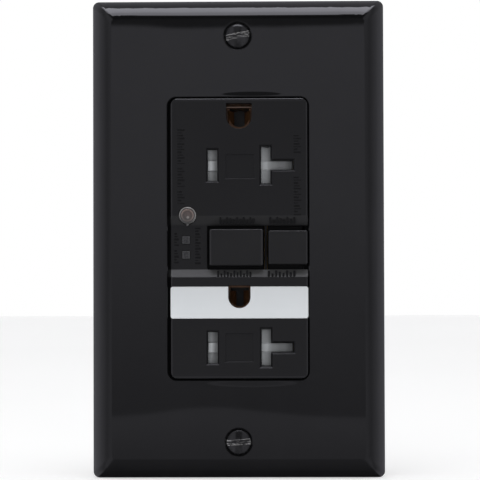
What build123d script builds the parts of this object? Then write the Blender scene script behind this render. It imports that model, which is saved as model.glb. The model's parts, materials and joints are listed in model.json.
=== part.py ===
from build123d import *
import os
from math import sin, cos, radians

# GFCI receptacle with wall plate. Millimetres.
# X runs right as seen from the room, Y runs into the wall, Z is up.
# The origin is the centre of the device on the wall surface.
# Ranges are (low, high) pairs. Sketch outlines at a depth y are in (x, z).

os.makedirs("parts", exist_ok=True)

# ---------------------------------------------------------------- shared dimensions
SIDES = (-1, 1)                      # left, right
ENDS = (1, -1)                       # top, bottom

# wall plate
PLATE_W, PLATE_H = 69.85, 114.3      # standard one-gang plate
PLATE_D = 5.6                        # height of the face above the wall
PLATE_X = -0.27                      # play of the plate and its screws on the device
PLATE_SCREW_Z = 96.84 / 2            # half the pitch of the plate screws
BOX_SCREW_Z = 83.34 / 2              # half the pitch of the box screws

# device face
FACE_W, FACE_H = 32.6, 66.7
FACE_Y = -6.2                        # front of the face
FACE_IN = -4.4                       # inside of the face wall
COVER_BACK = -1.5
SLOT_X = 6.35                        # blade slots either side of the centre
OUTLET_Z = (17.4, -26.0)             # centres of the two pairs of slots
GROUND_Z = (29.15, -13.95)           # centres of the ground pin holes
LOWER_PIN_R = 2.65                   # radius of the lower ground pin hole
CELL = (-12.3, 5.5)                  # photocell
PIPE_X, PIPE_Z = -12.7, (-0.32, -3.88)
PIPES = [(PIPE_X, z) for z in PIPE_Z]
LENS_Z = (-19.06, -11.45)            # nightlight band
LED_X = 11.8                         # nightlight LEDs and lens legs either side
BUTTON_Y = -6.7                      # front of both buttons
BUTTON_BASE_Y = (-3.1, -2.4)         # base plates of both buttons
BUTTON_BASE_Z = (-7.9, 3.6)
BUTTON_R, BUTTON_FILLET = 0.45, 0.42
LATCH = (0, -1.0)                    # axis of the latching pin

# body
BODY_W, BODY_H = 43.2, 67.0
SCREW_POS = ((-12.4, 30.6), (12.4, 30.6), (-12.4, -30.6), (12.4, -30.6))
PAD_Z = -6.0                         # switching contacts
PCB_Y = (13.5, 15.1)
PART_Y = PCB_Y[1] + 0.02             # front of the parts standing on the board

# terminals (8-32 screws, axes along X); x ranges are distances from the centre
TERM_Y, TERM_Z = 17.5, 17.0
TERM_R = 2.05                        # 8-32 screw shank
TERM_HOLE_R = TERM_R + 0.06
TERM_PLATE = (16.65, 17.65)
TERM_CLAMP = (19.8, 21.0)
TERM_HEAD = (21.05, 23.2)
TERM_TIP = 14.9
WIRE_DZ = (-3.6, 3.6)                # wires either side of a terminal screw
DRIVE_HALF = 0.55                    # half width of the terminal screwdriver slots
GND = (5.6, -30.6)                   # (y, z) of the ground screw


# ---------------------------------------------------------------- helpers
# Sketch and line builders stay beside the part they join; these only draw in the open one.
def at_y(y):
    """Sketch plane parallel to the wall at depth y, facing the room."""
    return Plane.XZ.offset(-y)


def plate_at(y, z=0):
    """As at_y, centred on the wall plate at height z."""
    return Plane(origin=(PLATE_X, y, z), x_dir=(1, 0, 0), z_dir=(0, -1, 0))


def y_axis(x, z):
    return Axis((x, 0, z), (0, 1, 0))


def span(middle, half):
    """Range that reaches half either side of middle."""
    return middle - half, middle + half


def on_side(side, near, far):
    """X range between two distances from the centre, on the left (-1) or right (1)."""
    return tuple(sorted((side * near, side * far)))


def block(x_range, y_range, z_range, mode=Mode.ADD):
    """Box in the open part."""
    ranges = (x_range, y_range, z_range)
    with Locations(tuple((low + high) / 2 for low, high in ranges)):
        Box(*(high - low for low, high in ranges), mode=mode)


def rect(x_range, z_range, mode=Mode.ADD):
    """Rectangle in the open sketch."""
    (x0, x1), (z0, z1) = x_range, z_range
    with Locations(((x0 + x1) / 2, (z0 + z1) / 2)):
        Rectangle(x1 - x0, z1 - z0, mode=mode)


def circles(radius, *places, mode=Mode.ADD):
    with Locations(*places):
        Circle(radius, mode=mode)


def ring(place, outer, inner):
    circles(outer, place)
    circles(inner, place, mode=Mode.SUBTRACT)


def pin_shape(z, radius, top):
    """Ground pin outline on the centre line: round below, square above up to z + top."""
    circles(radius, (0, z))
    rect((-radius, radius), (z, z + top))


def front_edges(builder):
    return builder.faces().sort_by(Axis.Y)[0].edges()


def save(builder, name):
    builder.part.label = name
    export_step(builder.part, "parts/" + name + ".step")


# ---------------------------------------------------------------- wall plate
PLATE_R = 1.5                        # outline corner radius
BEVEL = 4.7                          # width of the curved bevel
BEVEL_STEPS = 5
HOLLOW_D = 3.6                       # depth of the hollow behind the face
HOLLOW_R = 1.0
RIM_WALL = 1.8                       # wall round the hollow at the back
HOLLOW_INSET = BEVEL + 1.2           # and at its front
OPEN_W, OPEN_H, OPEN_R = 33.5, 67.2, 2.0

# The bevel is an arc that leaves the rim at one slope and meets the face at the other
rim_slope, face_slope = radians(66.0), radians(22.0)
bevel_r = BEVEL / (sin(rim_slope) - sin(face_slope))
rim_d = PLATE_D - bevel_r * (cos(face_slope) - cos(rim_slope))

with BuildPart() as wall_plate:
    with BuildSketch(plate_at(0)):
        RectangleRounded(PLATE_W, PLATE_H, PLATE_R)
    extrude(amount=rim_d)
    for i in range(BEVEL_STEPS + 1):
        slope = rim_slope + (face_slope - rim_slope) * i / BEVEL_STEPS
        inset = bevel_r * (sin(rim_slope) - sin(slope))
        depth = rim_d + bevel_r * (cos(slope) - cos(rim_slope))
        with BuildSketch(plate_at(-depth)):
            RectangleRounded(PLATE_W - 2 * inset, PLATE_H - 2 * inset, PLATE_R - 0.12 * inset)
    loft()
    # hollow behind the face
    for y, inset in ((0, RIM_WALL), (-HOLLOW_D, HOLLOW_INSET)):
        with BuildSketch(plate_at(y)):
            RectangleRounded(PLATE_W - 2 * inset, PLATE_H - 2 * inset, HOLLOW_R)
    loft(mode=Mode.SUBTRACT)
    # bosses round the plate screws
    with BuildSketch(plate_at(-2.3)):
        circles(3.0, *[(0, end * PLATE_SCREW_Z) for end in ENDS])
    extrude(amount=1.6)
    # opening for the device face, with a small lead-in
    with BuildSketch(plate_at(0)):
        RectangleRounded(OPEN_W, OPEN_H, OPEN_R)
    extrude(amount=PLATE_D + 1, mode=Mode.SUBTRACT)
    front = wall_plate.faces().sort_by(Axis.Y)[0]
    chamfer(front.inner_wires()[0].edges(), length=0.25)
    front_place = plate_at(-PLATE_D).location
    with Locations(*[front_place * Location((0, end * PLATE_SCREW_Z, 0)) for end in ENDS]):
        CounterSinkHole(radius=2.0, counter_sink_radius=3.45, counter_sink_angle=82)
save(wall_plate, "wall_plate")

# Oval-head slotted 6-32 screws that hold the plate
OVAL_TOP_Y = -6.2
OVAL_RIM = (3.2, -5.36)
# (radius, y) from the crown down the axis, round the tip and up to the head rim
PLATE_SCREW_OUTLINE = (
    (0, OVAL_TOP_Y), (0, 7.1), (1.4, 7.1), (1.73, 6.7), (1.73, -3.66), OVAL_RIM,
)
with BuildPart() as wall_plate_screws:
    for end, slot_tilt in ((1, -11.0), (-1, -4.5)):
        z = end * PLATE_SCREW_Z
        with BuildSketch(Plane(origin=(PLATE_X, 0, z))):
            with BuildLine():
                Polyline(*PLATE_SCREW_OUTLINE)
                ThreePointArc(OVAL_RIM, (1.6545, -5.9864), (0, OVAL_TOP_Y))
            make_face()
        revolve(axis=y_axis(PLATE_X, z))
        with BuildSketch(plate_at(-6.3, z).rotated((0, 0, -slot_tilt))):
            Rectangle(7.4, 1.3)
        extrude(amount=-1.25, mode=Mode.SUBTRACT)
save(wall_plate_screws, "wall_plate_screws")

# ---------------------------------------------------------------- front cover
FLANGE_W, FLANGE_H, FLANGE_Y = 43.2, 68.6, -3.0
SKIRT = 0.85                         # side wall thickness
WALL_CUT_Y, WALL_CUT = -4.2, 3       # start and length of cuts through the face wall
LEAD_IN_Y = -5.7
CELL_SEAT_Y = -5.1
# (y, z) section of the button valley, floor at y = -5
VALLEY = (
    (-6.4, 5.93), (-6.2, 5.4), (-5.0, 3.0), (-5.0, -7.35), (-6.2, -9.3), (-6.4, -9.73),
)
# x, width, height; the last crosses the right-hand slot to make a T
BLADE_SLOTS = (
    (-SLOT_X, 2.3, 7.4),
    (SLOT_X, 2.3, 8.9),
    ((5.2 + 12.9) / 2, 7.7, 2.2),
)
# z, radius, height of the flat top
GROUND_HOLES = ((GROUND_Z[0], 3.05, 3.05), (GROUND_Z[1], LOWER_PIN_R, 2.75))

with BuildPart() as front_cover:
    with BuildSketch(at_y(COVER_BACK)):
        RectangleRounded(FACE_W, FACE_H, 1.6)
    extrude(amount=COVER_BACK - FACE_Y)
    fillet(front_edges(front_cover), radius=0.35)
    with BuildSketch(at_y(COVER_BACK)):
        RectangleRounded(FLANGE_W, FLANGE_H, 2.0)
    extrude(amount=COVER_BACK - FLANGE_Y)
    # inside of the skirt
    with BuildSketch(at_y(COVER_BACK)):
        RectangleRounded(FACE_W - 2 * SKIRT, FACE_H - 2 * SKIRT, 0.8)
    extrude(amount=COVER_BACK - FACE_IN, mode=Mode.SUBTRACT)
    # bosses for the assembly screws
    with BuildSketch(at_y(COVER_BACK)):
        circles(2.3, *SCREW_POS)
    extrude(amount=COVER_BACK - FACE_IN + 0.5)
    with BuildSketch(at_y(COVER_BACK)):
        circles(1.42, *SCREW_POS)
    extrude(amount=2.6, mode=Mode.SUBTRACT)
    # posts that carry the sensor board
    with BuildSketch(at_y(-2.95)):
        circles(0.7, (-12.8, -18.5), (12.8, -18.5), (-9.6, 7.2))
    extrude(amount=1.6)
    # fixed stops for the shutter springs
    for z in OUTLET_Z:
        block((1.0, 1.7), (FACE_IN - 0.2, -2.4), span(z, 1.4))
    # button valley across the face
    with BuildSketch(Plane.YZ):
        with BuildLine():
            Polyline(*VALLEY, close=True)
        make_face()
    extrude(amount=20, both=True, mode=Mode.SUBTRACT)
    # opening for the two buttons, run out through the right-hand side
    with BuildSketch(at_y(-3.05)):
        rect((-7.65, 20), (-7.4, 3.0))
    extrude(amount=4, mode=Mode.SUBTRACT)
    # rib between the two buttons
    block((6.05, 6.55), (-4.7, -3.2), (-8.2, 3.8))
    # channel for the nightlight band, and holes for its legs
    block((-20, 20), (-7, -5.0), (LENS_Z[0] - 0.04, LENS_Z[1] + 0.04), mode=Mode.SUBTRACT)
    for side in SIDES:
        block(span(side * LED_X, 2.2), (-5.2, -4.2), (-16.8, -13.4), mode=Mode.SUBTRACT)
    # blade slots with lead-in
    for z in OUTLET_Z:
        with BuildSketch(at_y(WALL_CUT_Y)):
            for x, width, height in BLADE_SLOTS:
                with Locations((x, z)):
                    Rectangle(width, height)
        extrude(amount=WALL_CUT, mode=Mode.SUBTRACT)
        for x, width, height in BLADE_SLOTS:
            with BuildSketch(at_y(LEAD_IN_Y)):
                with Locations((x, z)):
                    Rectangle(width, height)
            extrude(amount=0.6, taper=-42, mode=Mode.SUBTRACT)
    # shallow square recesses between the slots
    for x, z, half_w, half_h in ((0.2, 17.1, 3.45, 2.9), (0, -26, 3.35, 3.35)):
        block(span(x, half_w), (-6.4, -5.95), span(z, half_h), mode=Mode.SUBTRACT)
    # ground pin holes
    for z, radius, top in GROUND_HOLES:
        with BuildSketch(at_y(WALL_CUT_Y)):
            pin_shape(z, radius, top)
        extrude(amount=WALL_CUT, mode=Mode.SUBTRACT)
    # photocell hole, seat and pointer notch
    with BuildSketch(at_y(WALL_CUT_Y)):
        circles(1.65, CELL)
    extrude(amount=WALL_CUT, mode=Mode.SUBTRACT)
    with BuildSketch(at_y(CELL_SEAT_Y)):
        circles(2.15, CELL)
    extrude(amount=2, mode=Mode.SUBTRACT)
    with BuildSketch(at_y(CELL_SEAT_Y)):
        with BuildLine():
            Polyline((CELL[0] - 1.1, CELL[1] - 1.6), (CELL[0] + 1.1, CELL[1] - 1.6),
                     (CELL[0], CELL[1] - 2.75), close=True)
        make_face()
    extrude(amount=2, mode=Mode.SUBTRACT)
    # indicator windows
    with BuildSketch(at_y(WALL_CUT_Y)):
        with Locations(*PIPES):
            Rectangle(1.9, 1.9)
    extrude(amount=WALL_CUT, mode=Mode.SUBTRACT)
save(front_cover, "front_cover")

# Translucent nightlight band with two light legs
LENS_W = 32.76
LENS_Y = (-6.3, -5.02)
with BuildPart() as nightlight_lens:
    with BuildSketch(at_y(LENS_Y[1])):
        with Locations((0, sum(LENS_Z) / 2)):
            RectangleRounded(LENS_W, LENS_Z[1] - LENS_Z[0], 0.6)
    extrude(amount=LENS_Y[1] - LENS_Y[0])
    fillet(front_edges(nightlight_lens), radius=0.25)
    with BuildSketch(at_y(-4.9)):
        pin_shape(GROUND_Z[1], LOWER_PIN_R, top=4)
    extrude(amount=2, mode=Mode.SUBTRACT)
    for side in SIDES:
        block(span(side * LED_X, 2.0), (-5.1, -3.85), (-16.6, -13.6))
save(nightlight_lens, "nightlight_lens")

# Clear photocell lens: stem and rounded head
with BuildPart() as photocell_lens:
    with BuildSketch(at_y(-4.0)):
        circles(1.6, CELL)
    extrude(amount=1.2)
    with BuildSketch(at_y(-5.12)):
        circles(2.08, CELL)
    extrude(amount=1.5)
    fillet(front_edges(photocell_lens), radius=0.75)
save(photocell_lens, "photocell_lens")

with BuildPart() as indicator_light_pipes:
    with BuildSketch(at_y(-3.75)):
        with Locations(*PIPES):
            Rectangle(1.8, 1.8)
    extrude(amount=1.4)
save(indicator_light_pipes, "indicator_light_pipes")

# ---------------------------------------------------------------- sensor board behind the face
LED_BASE_Y = -2.91                   # back of the LEDs, just in front of the board
SENSOR_BOARD_OUTLINE = (
    (-14.6, 8.2), (-8.8, 8.2), (-8.8, -17.4), (8.8, -17.4),
    (8.8, -12.0), (14.6, -12.0), (14.6, -19.5), (-14.6, -19.5),
)
with BuildPart() as sensor_board:
    with BuildSketch(at_y(-2.1)):
        with BuildLine():
            Polyline(*SENSOR_BOARD_OUTLINE, close=True)
        make_face()
    extrude(amount=0.8)
save(sensor_board, "sensor_board")

with BuildPart() as nightlight_leds:
    for side in SIDES:
        block(span(side * LED_X, 1.5), (-3.35, LED_BASE_Y), (-16.1, -14.1))
        block(span(side * LED_X, 1.1), (-3.7, -3.35), (-15.8, -14.4))
save(nightlight_leds, "nightlight_leds")

with BuildPart() as photocell_sensor:
    with BuildSketch(at_y(-2.92)):
        circles(1.5, CELL)
    extrude(amount=0.7)
    with BuildSketch(at_y(-3.6)):
        circles(1.1, CELL)
    extrude(amount=0.3)
save(photocell_sensor, "photocell_sensor")

with BuildPart() as indicator_leds:
    for z in PIPE_Z:
        block(span(PIPE_X, 0.8), (-3.3, LED_BASE_Y), span(z, 0.5))
        block(span(PIPE_X, 0.5), (-3.62, -3.3), span(z, 0.4))
save(indicator_leds, "indicator_leds")

# ---------------------------------------------------------------- shutters
SHUTTER_Y = (-3.6, -2.6)
PAD_RISE = 0.55                      # height of the raised pads


def make_shutter(name, z):
    with BuildPart() as shutter:
        with BuildSketch(at_y(SHUTTER_Y[1])):
            rect((-7.65, 7.6), span(z, 6.0))
            rect((5.0, 12.8), span(z, 1.5))
            rect((2.6, 5.0), span(z, 4.8), mode=Mode.SUBTRACT)
            rect((-3.0, 2.0), span(z, 1.6), mode=Mode.SUBTRACT)
        extrude(amount=SHUTTER_Y[1] - SHUTTER_Y[0])
        # raised pads with ramped flanks behind the slots: x, width, height, rise, taper
        for x, width, height, rise, taper in (
            (-SLOT_X + 0.05, 2.5, 2.6, PAD_RISE, 12),
            (SLOT_X, 2.3, 8.6, 0.3, 10),
            (8.9, 7.6, 2.2, PAD_RISE, 12),
        ):
            with BuildSketch(at_y(SHUTTER_Y[0])):
                with Locations((x, z)):
                    Rectangle(width, height)
            extrude(amount=rise, taper=taper)
    save(shutter, name)


def make_shutter_spring(name, z):
    """Return spring between the shutter and the fixed stop, as a tube along X."""
    with BuildPart() as spring:
        with BuildSketch(Plane.YZ.offset(-2.95)):
            ring((-3.1, z), outer=0.95, inner=0.65)
        extrude(amount=3.9)
    save(spring, name)


for level, outlet_z in zip(("upper", "lower"), OUTLET_Z):
    make_shutter(level + "_shutter", outlet_z)
    make_shutter_spring(level + "_shutter_spring", outlet_z)

# ---------------------------------------------------------------- buttons
RESET_POS, RESET_W, RESET_H = (-0.7, -2.14), 12.8, 8.72
RESET_BACK = BUTTON_BASE_Y[0]
PIN_R, CATCH_R = 1.3, 1.7
with BuildPart() as reset_button:
    with BuildSketch(at_y(RESET_BACK)):
        with Locations(RESET_POS):
            RectangleRounded(RESET_W, RESET_H, BUTTON_R)
    extrude(amount=RESET_BACK - BUTTON_Y)
    fillet(front_edges(reset_button), radius=BUTTON_FILLET)
    block((-8.3, 5.9), BUTTON_BASE_Y, BUTTON_BASE_Z)
    # latching pin with its catch
    with BuildSketch(at_y(10.9)):
        circles(PIN_R, LATCH)
    extrude(amount=13.4)
    with BuildSketch(at_y(8.5)):
        circles(CATCH_R, LATCH)
    extrude(amount=0.6)
save(reset_button, "reset_button")

with BuildPart() as reset_spring:
    with BuildSketch(at_y(3.55)):
        ring(LATCH, outer=2.8, inner=2.2)
    extrude(amount=5.9)
save(reset_spring, "reset_spring")

TEST_X = (6.9, 16.25)
TEST_BODY_X1 = 15.15                 # right-hand end behind the cap
TEST_Z, TEST_H = -2.19, 8.12
TEST_CAP_BACK = -4.7
with BuildPart() as test_button:
    with BuildSketch(at_y(TEST_CAP_BACK)):
        with Locations((sum(TEST_X) / 2, TEST_Z)):
            RectangleRounded(TEST_X[1] - TEST_X[0], TEST_H, BUTTON_R)
    extrude(amount=TEST_CAP_BACK - BUTTON_Y)
    fillet(front_edges(test_button), radius=BUTTON_FILLET)
    block((TEST_X[0], TEST_BODY_X1), (TEST_CAP_BACK, BUTTON_BASE_Y[0]), span(TEST_Z, TEST_H / 2))
    block((6.7, TEST_BODY_X1), BUTTON_BASE_Y, BUTTON_BASE_Z)
    # leg that reaches back to the test leaf
    block((10.6, 12.6), (BUTTON_BASE_Y[1], 5.5), (-3.0, -1.0))
save(test_button, "test_button")

with BuildPart() as test_leaf:
    block((10.0, 13.2), (5.8, 6.1), (-13.1, -0.9))
    with BuildSketch(at_y(6.9)):
        circles(0.9, (11.6, -2.0))
    extrude(amount=0.8)
save(test_leaf, "test_leaf")

# ---------------------------------------------------------------- mounting strap
STRAP_T = 1.5
with BuildPart() as mounting_strap:
    with BuildSketch(at_y(0)):
        RectangleRounded(42.6, 72.0, 1.5)
        # neck and plaster ears at each end
        for end in ENDS:
            with Locations((0, end * 42.0)):
                Rectangle(22.0, 14.0)
            with Locations((0, end * 49.6)):
                RectangleRounded(30.0, 7.6, 2.6)
        # windows for the outlets and buttons
        for window_z in ((-9.2, 25.3), (-33.0, -18.6)):
            rect((-17.0, 17.0), window_z, mode=Mode.SUBTRACT)
        # ground pin holes
        with Locations(*[(0, z) for z in GROUND_Z]):
            Rectangle(7.0, 6.6, mode=Mode.SUBTRACT)
        # upper assembly screws
        circles(1.7, *SCREW_POS[:2], mode=Mode.SUBTRACT)
        # plate screw threads and box screw slots
        circles(1.78, *[(PLATE_X, end * PLATE_SCREW_Z) for end in ENDS], mode=Mode.SUBTRACT)
        with Locations(*[(0, end * BOX_SCREW_Z) for end in ENDS]):
            SlotOverall(6.6, 3.9, mode=Mode.SUBTRACT)
        # break-off lines of the plaster ears
        with Locations(*[(x, end * 53.4) for x in (-9.5, 9.5) for end in ENDS]):
            Rectangle(1.0, 3.0, mode=Mode.SUBTRACT)
    extrude(amount=STRAP_T)
    # ground terminal tab bent back
    block((-18.0, -16.5), (-STRAP_T, 10.0), (-35.0, -26.9))
    with BuildSketch(Plane.YZ.offset(-18.1)):
        circles(2.12, GND)
    extrude(amount=1.8, mode=Mode.SUBTRACT)
save(mounting_strap, "mounting_strap")

# Ground contacts
SLEEVE_T = 0.4                       # wall of the sleeve
SLIT_HALF = 0.35
SLIT_Y = (2.0, 9.1)


def make_ground_contact(name, z, mouth_r, mouth_top, sleeve_r, sleeve_top):
    """Wide flat-topped mouth behind the face, sleeve through the strap, two spring leaves."""
    with BuildPart() as contact:
        with BuildSketch(at_y(9.0)):
            pin_shape(z, sleeve_r + SLEEVE_T, sleeve_top + SLEEVE_T)
        extrude(amount=10.75)
        # mouth, cut flat across the top
        with BuildSketch(at_y(-1.65)):
            pin_shape(z, mouth_r + 0.38, mouth_top + 0.3)
            with Locations((0, z + mouth_top + 2.3)):
                Rectangle(12, 4, mode=Mode.SUBTRACT)
        extrude(amount=2.25)
        with BuildSketch(at_y(-1.95)):
            pin_shape(z, mouth_r, mouth_top)
            with Locations((0, z + mouth_top + 2)):
                Rectangle(12, 4, mode=Mode.SUBTRACT)
        extrude(amount=2.2, mode=Mode.SUBTRACT)
        # flange behind the strap
        block((-6.2, 6.2), (0.0, 0.8), span(z, 4.0))
        with BuildSketch(at_y(9.1)):
            pin_shape(z, sleeve_r, sleeve_top)
        extrude(amount=11.2, mode=Mode.SUBTRACT)
        # slits that leave spring fingers
        block((-4, 4), SLIT_Y, span(z, SLIT_HALF), mode=Mode.SUBTRACT)
        block(span(0, SLIT_HALF), SLIT_Y, (z - 4, z - 1), mode=Mode.SUBTRACT)
        # converging leaves, outlined in (x, y)
        for side in SIDES:
            with BuildSketch(Plane.XY.offset(z - 1.9)):
                with BuildLine():
                    Polyline(
                        (side * (mouth_r + 0.1), -3.3),
                        (side * (mouth_r - 0.25), -3.3),
                        (side * (mouth_r - 1.75), 1.6),
                        (side * (mouth_r - 1.45), 1.6),
                        close=True,
                    )
                make_face()
            extrude(amount=3.4)
    save(contact, name)


make_ground_contact("upper_ground_contact", GROUND_Z[0],
                    mouth_r=3.0, mouth_top=2.1, sleeve_r=2.35, sleeve_top=2.1)
make_ground_contact("lower_ground_contact", GROUND_Z[1],
                    mouth_r=2.6, mouth_top=2.7, sleeve_r=2.25, sleeve_top=2.25)

# 6-32 screws that hold the strap to the wall box, necked through the strap and the retainer
BOX_TOP_Y = -3.25
BOX_RIM = (3.4, -2.5)
# (radius, y) from the crown down the axis, round the tip and up past the neck to the head rim
BOX_SCREW_OUTLINE = (
    (0, BOX_TOP_Y), (0, 22.0), (1.35, 22.0), (1.73, 21.6), (1.73, 1.45),
    (1.5, 1.2), (1.5, -1.52), (3.4, -1.52), BOX_RIM,
)
with BuildPart() as device_mounting_screws:
    for end in ENDS:
        z = end * BOX_SCREW_Z
        with BuildSketch(Plane.XY.offset(z)):
            with BuildLine():
                Polyline(*BOX_SCREW_OUTLINE)
                ThreePointArc(BOX_RIM, (1.7409, -3.0603), (0, BOX_TOP_Y))
            make_face()
        revolve(axis=y_axis(0, z))
        block((-3.6, 3.6), (-3.4, -2.4), span(z, 0.55), mode=Mode.SUBTRACT)
save(device_mounting_screws, "device_mounting_screws")

with BuildPart() as screw_retainers:
    with BuildSketch(at_y(0.9)):
        with Locations(*[(0, end * BOX_SCREW_Z) for end in ENDS]):
            RectangleRounded(9.0, 8.0, 1.0)
            Circle(1.77, mode=Mode.SUBTRACT)
    extrude(amount=0.85)
save(screw_retainers, "screw_retainers")

# ---------------------------------------------------------------- contact carrier
CARRIER_Y = (0.05, 11.6)
CARRIER_THROUGH = (-1, 13)           # cuts right through the carrier
POCKET_Y = (1.6, 13)                 # pockets cut from the back
with BuildPart() as contact_carrier:
    with BuildSketch(at_y(CARRIER_Y[1])):
        RectangleRounded(41.0, 66.0, 1.5)
    extrude(amount=CARRIER_Y[1] - CARRIER_Y[0])
    # contact channels either side of the centre
    for side in SIDES:
        block(on_side(side, 3.6, 9.2), CARRIER_THROUGH, (-31.0, 23.0), mode=Mode.SUBTRACT)
    for z in OUTLET_Z:
        block((9.1, 14.0), CARRIER_THROUGH, span(z, 2.5), mode=Mode.SUBTRACT)
    # latch well with the seat of the reset spring left standing
    block((-3.7, 3.7), (5.0, 13), (-9.0, 9.2), mode=Mode.SUBTRACT)
    block((-3.7, 3.7), (-1, 3.6), (-9.0, 5.0), mode=Mode.SUBTRACT)
    with BuildSketch(at_y(6)):
        circles(1.38, LATCH)
    extrude(amount=4, mode=Mode.SUBTRACT)
    # ground contact pockets
    for z in GROUND_Z:
        block((-3.2, 3.2), (-1, 9.6), (z - 3.2, z + 3.4), mode=Mode.SUBTRACT)
        block((-6.4, 6.4), (-1, 1.0), span(z, 4.2), mode=Mode.SUBTRACT)
    # test leaf pocket with its ledge
    block((9.4, 14.6), CARRIER_THROUGH, (-13.5, 4.5), mode=Mode.SUBTRACT)
    block((9.3, 14.7), (6.4, 7.6), (-13.6, -12.0))
    # lightening pockets from the back
    block((-18.9, -10.8), POCKET_Y, (-24.0, 27.0), mode=Mode.SUBTRACT)
    block((15.8, 18.9), POCKET_Y, (-31.0, 31.0), mode=Mode.SUBTRACT)
    # assembly screw holes
    with BuildSketch(at_y(13)):
        circles(1.7, *SCREW_POS)
    extrude(amount=14, mode=Mode.SUBTRACT)
    # corner left open for the ground terminal
    block((-22, -16.3), CARRIER_THROUGH, (-34, -26.6), mode=Mode.SUBTRACT)
    with BuildSketch(Plane.YZ.offset(-16.4)):
        circles(2.5, GND)
    extrude(amount=1.5, mode=Mode.SUBTRACT)
save(contact_carrier, "contact_carrier")

# ---------------------------------------------------------------- face contacts and moving arms
WEB_Y = (6.4, 7.0)                   # flat strip that joins the blade grips
GRIP_Y = (1.0, WEB_Y[0])
GRIP_OFFSETS = (-1.1, 1.1)           # grip leaves either side of a blade
GRIP_HALF = 0.25                     # half the leaf thickness
CROSS_X = (7.7, 13.0)                # grip for the horizontal blade, neutral side only


def make_face_contact(name, side):
    slot_x = side * SLOT_X
    grip_half_h = 3.2 if side < 0 else 4.2
    with BuildPart() as contact:
        block(on_side(side, 4.3, 8.4), WEB_Y, (-29.5, 21.5))
        for z in OUTLET_Z:
            for offset in GRIP_OFFSETS:
                block(span(slot_x + offset, GRIP_HALF), GRIP_Y, span(z, grip_half_h))
            if side > 0:
                block((7.1, 8.0), (0.9, WEB_Y[0]), span(z, 0.85), mode=Mode.SUBTRACT)
                block(CROSS_X, WEB_Y, span(z, 1.9))
                for offset in GRIP_OFFSETS:
                    block(CROSS_X, GRIP_Y, span(z + offset, GRIP_HALF))
        # fixed contact
        with BuildSketch(at_y(7.35)):
            circles(1.5, (slot_x, PAD_Z))
        extrude(amount=0.4)
    save(contact, name)


def make_contact_arm(name, side):
    slot_x = side * SLOT_X
    with BuildPart() as arm:
        block(span(slot_x, 1.5), (9.2, 9.6), (-7.8, 14.6))
        # foot that reaches back toward the circuit board
        block(span(slot_x, 1.5), (9.6, 13.2), (13.9, 14.6))
        # moving contact
        with BuildSketch(at_y(9.25)):
            circles(1.4, (slot_x, PAD_Z))
        extrude(amount=1.85)
    save(arm, name)


for pole, side in (("hot", -1), ("neutral", 1)):
    make_face_contact(pole + "_face_contact", side)
    make_contact_arm(pole + "_contact_arm", side)

# ---------------------------------------------------------------- latch
with BuildPart() as latch_block:
    block((-3.0, 3.0), (7.3, 10.4), (-5.5, 3.5))
    fillet(latch_block.edges().filter_by(Axis.Y), radius=0.5)
    # crossbar in front of the contact arms
    block((-8.2, 8.2), (7.3, 9.0), (-2.5, 0.5))
    with BuildSketch(at_y(11)):
        circles(1.95, LATCH)
    extrude(amount=5, mode=Mode.SUBTRACT)
save(latch_block, "latch_block")

with BuildPart() as latch_plate:
    block((-2.6, 2.6), (6.0, 6.6), (-7.0, 8.0))
    block((-1.6, 1.6), (5.9, 6.7), (-2.6, 2.3), mode=Mode.SUBTRACT)
    block((-2.0, 2.0), (6.0, 21.8), (7.3, 8.0))
save(latch_plate, "latch_plate")

# ---------------------------------------------------------------- circuit board and its parts
TOROID_Z = -15.5
with BuildPart() as circuit_board:
    with BuildSketch(at_y(PCB_Y[1])):
        RectangleRounded(29.2, 55.2, 1.0)
        # openings for the latch plate and the line conductors
        with Locations((0, 7.0)):
            Rectangle(4.8, 4.4, mode=Mode.SUBTRACT)
        with Locations((-1.7, TOROID_Z), (1.7, TOROID_Z)):
            Rectangle(1.7, 1.9, mode=Mode.SUBTRACT)
    extrude(amount=PCB_Y[1] - PCB_Y[0])
save(circuit_board, "circuit_board")

RESISTOR_Z = (7.2, 9.6, 12.0)
DIODES = ((-11.8, -25.4), (-8.0, -26.0), (8.0, -26.0), (11.8, -25.4))
with BuildPart() as board_components:
    block((-13.0, -8.0), (PART_Y, 16.6), (6.5, 12.5))       # control chip
    block((-13.6, -7.2), (PART_Y, 22.5), (21.0, 24.4))      # film capacitor
    block((8.2, 12.6), (PART_Y, 19.6), (22.6, 26.2))        # thyristor
    for z in RESISTOR_Z:
        block((8.4, 11.8), (PART_Y, 15.8), span(z, 0.8))
    for x, z in DIODES:
        block(span(x, 1.5), (PART_Y, 17.2), span(z, 0.9))
save(board_components, "board_components")

VARISTOR_LEADS = ((11.2, -2.9), (11.2, 2.1))
LEAD_R = 0.4
with BuildPart() as varistor:
    with BuildSketch(Plane.YZ.offset(9.5)):
        circles(4.6, (20.0, -0.4))
    extrude(amount=3.4)
    fillet(varistor.edges(), radius=0.8)
    # leads in two lengths, the second running up into the disc
    for y, length in ((16.2, 1.08), (18.0, 2.0)):
        with BuildSketch(at_y(y)):
            circles(LEAD_R, *VARISTOR_LEADS)
        extrude(amount=length)
save(varistor, "varistor")

with BuildPart() as filter_capacitor:
    with BuildSketch(at_y(23.0)):
        circles(3.6, (-10.4, -0.6))
    extrude(amount=23.0 - PART_Y)
    fillet(filter_capacitor.edges().sort_by(Axis.Y)[-1], radius=0.5)
save(filter_capacitor, "filter_capacitor")

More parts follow.
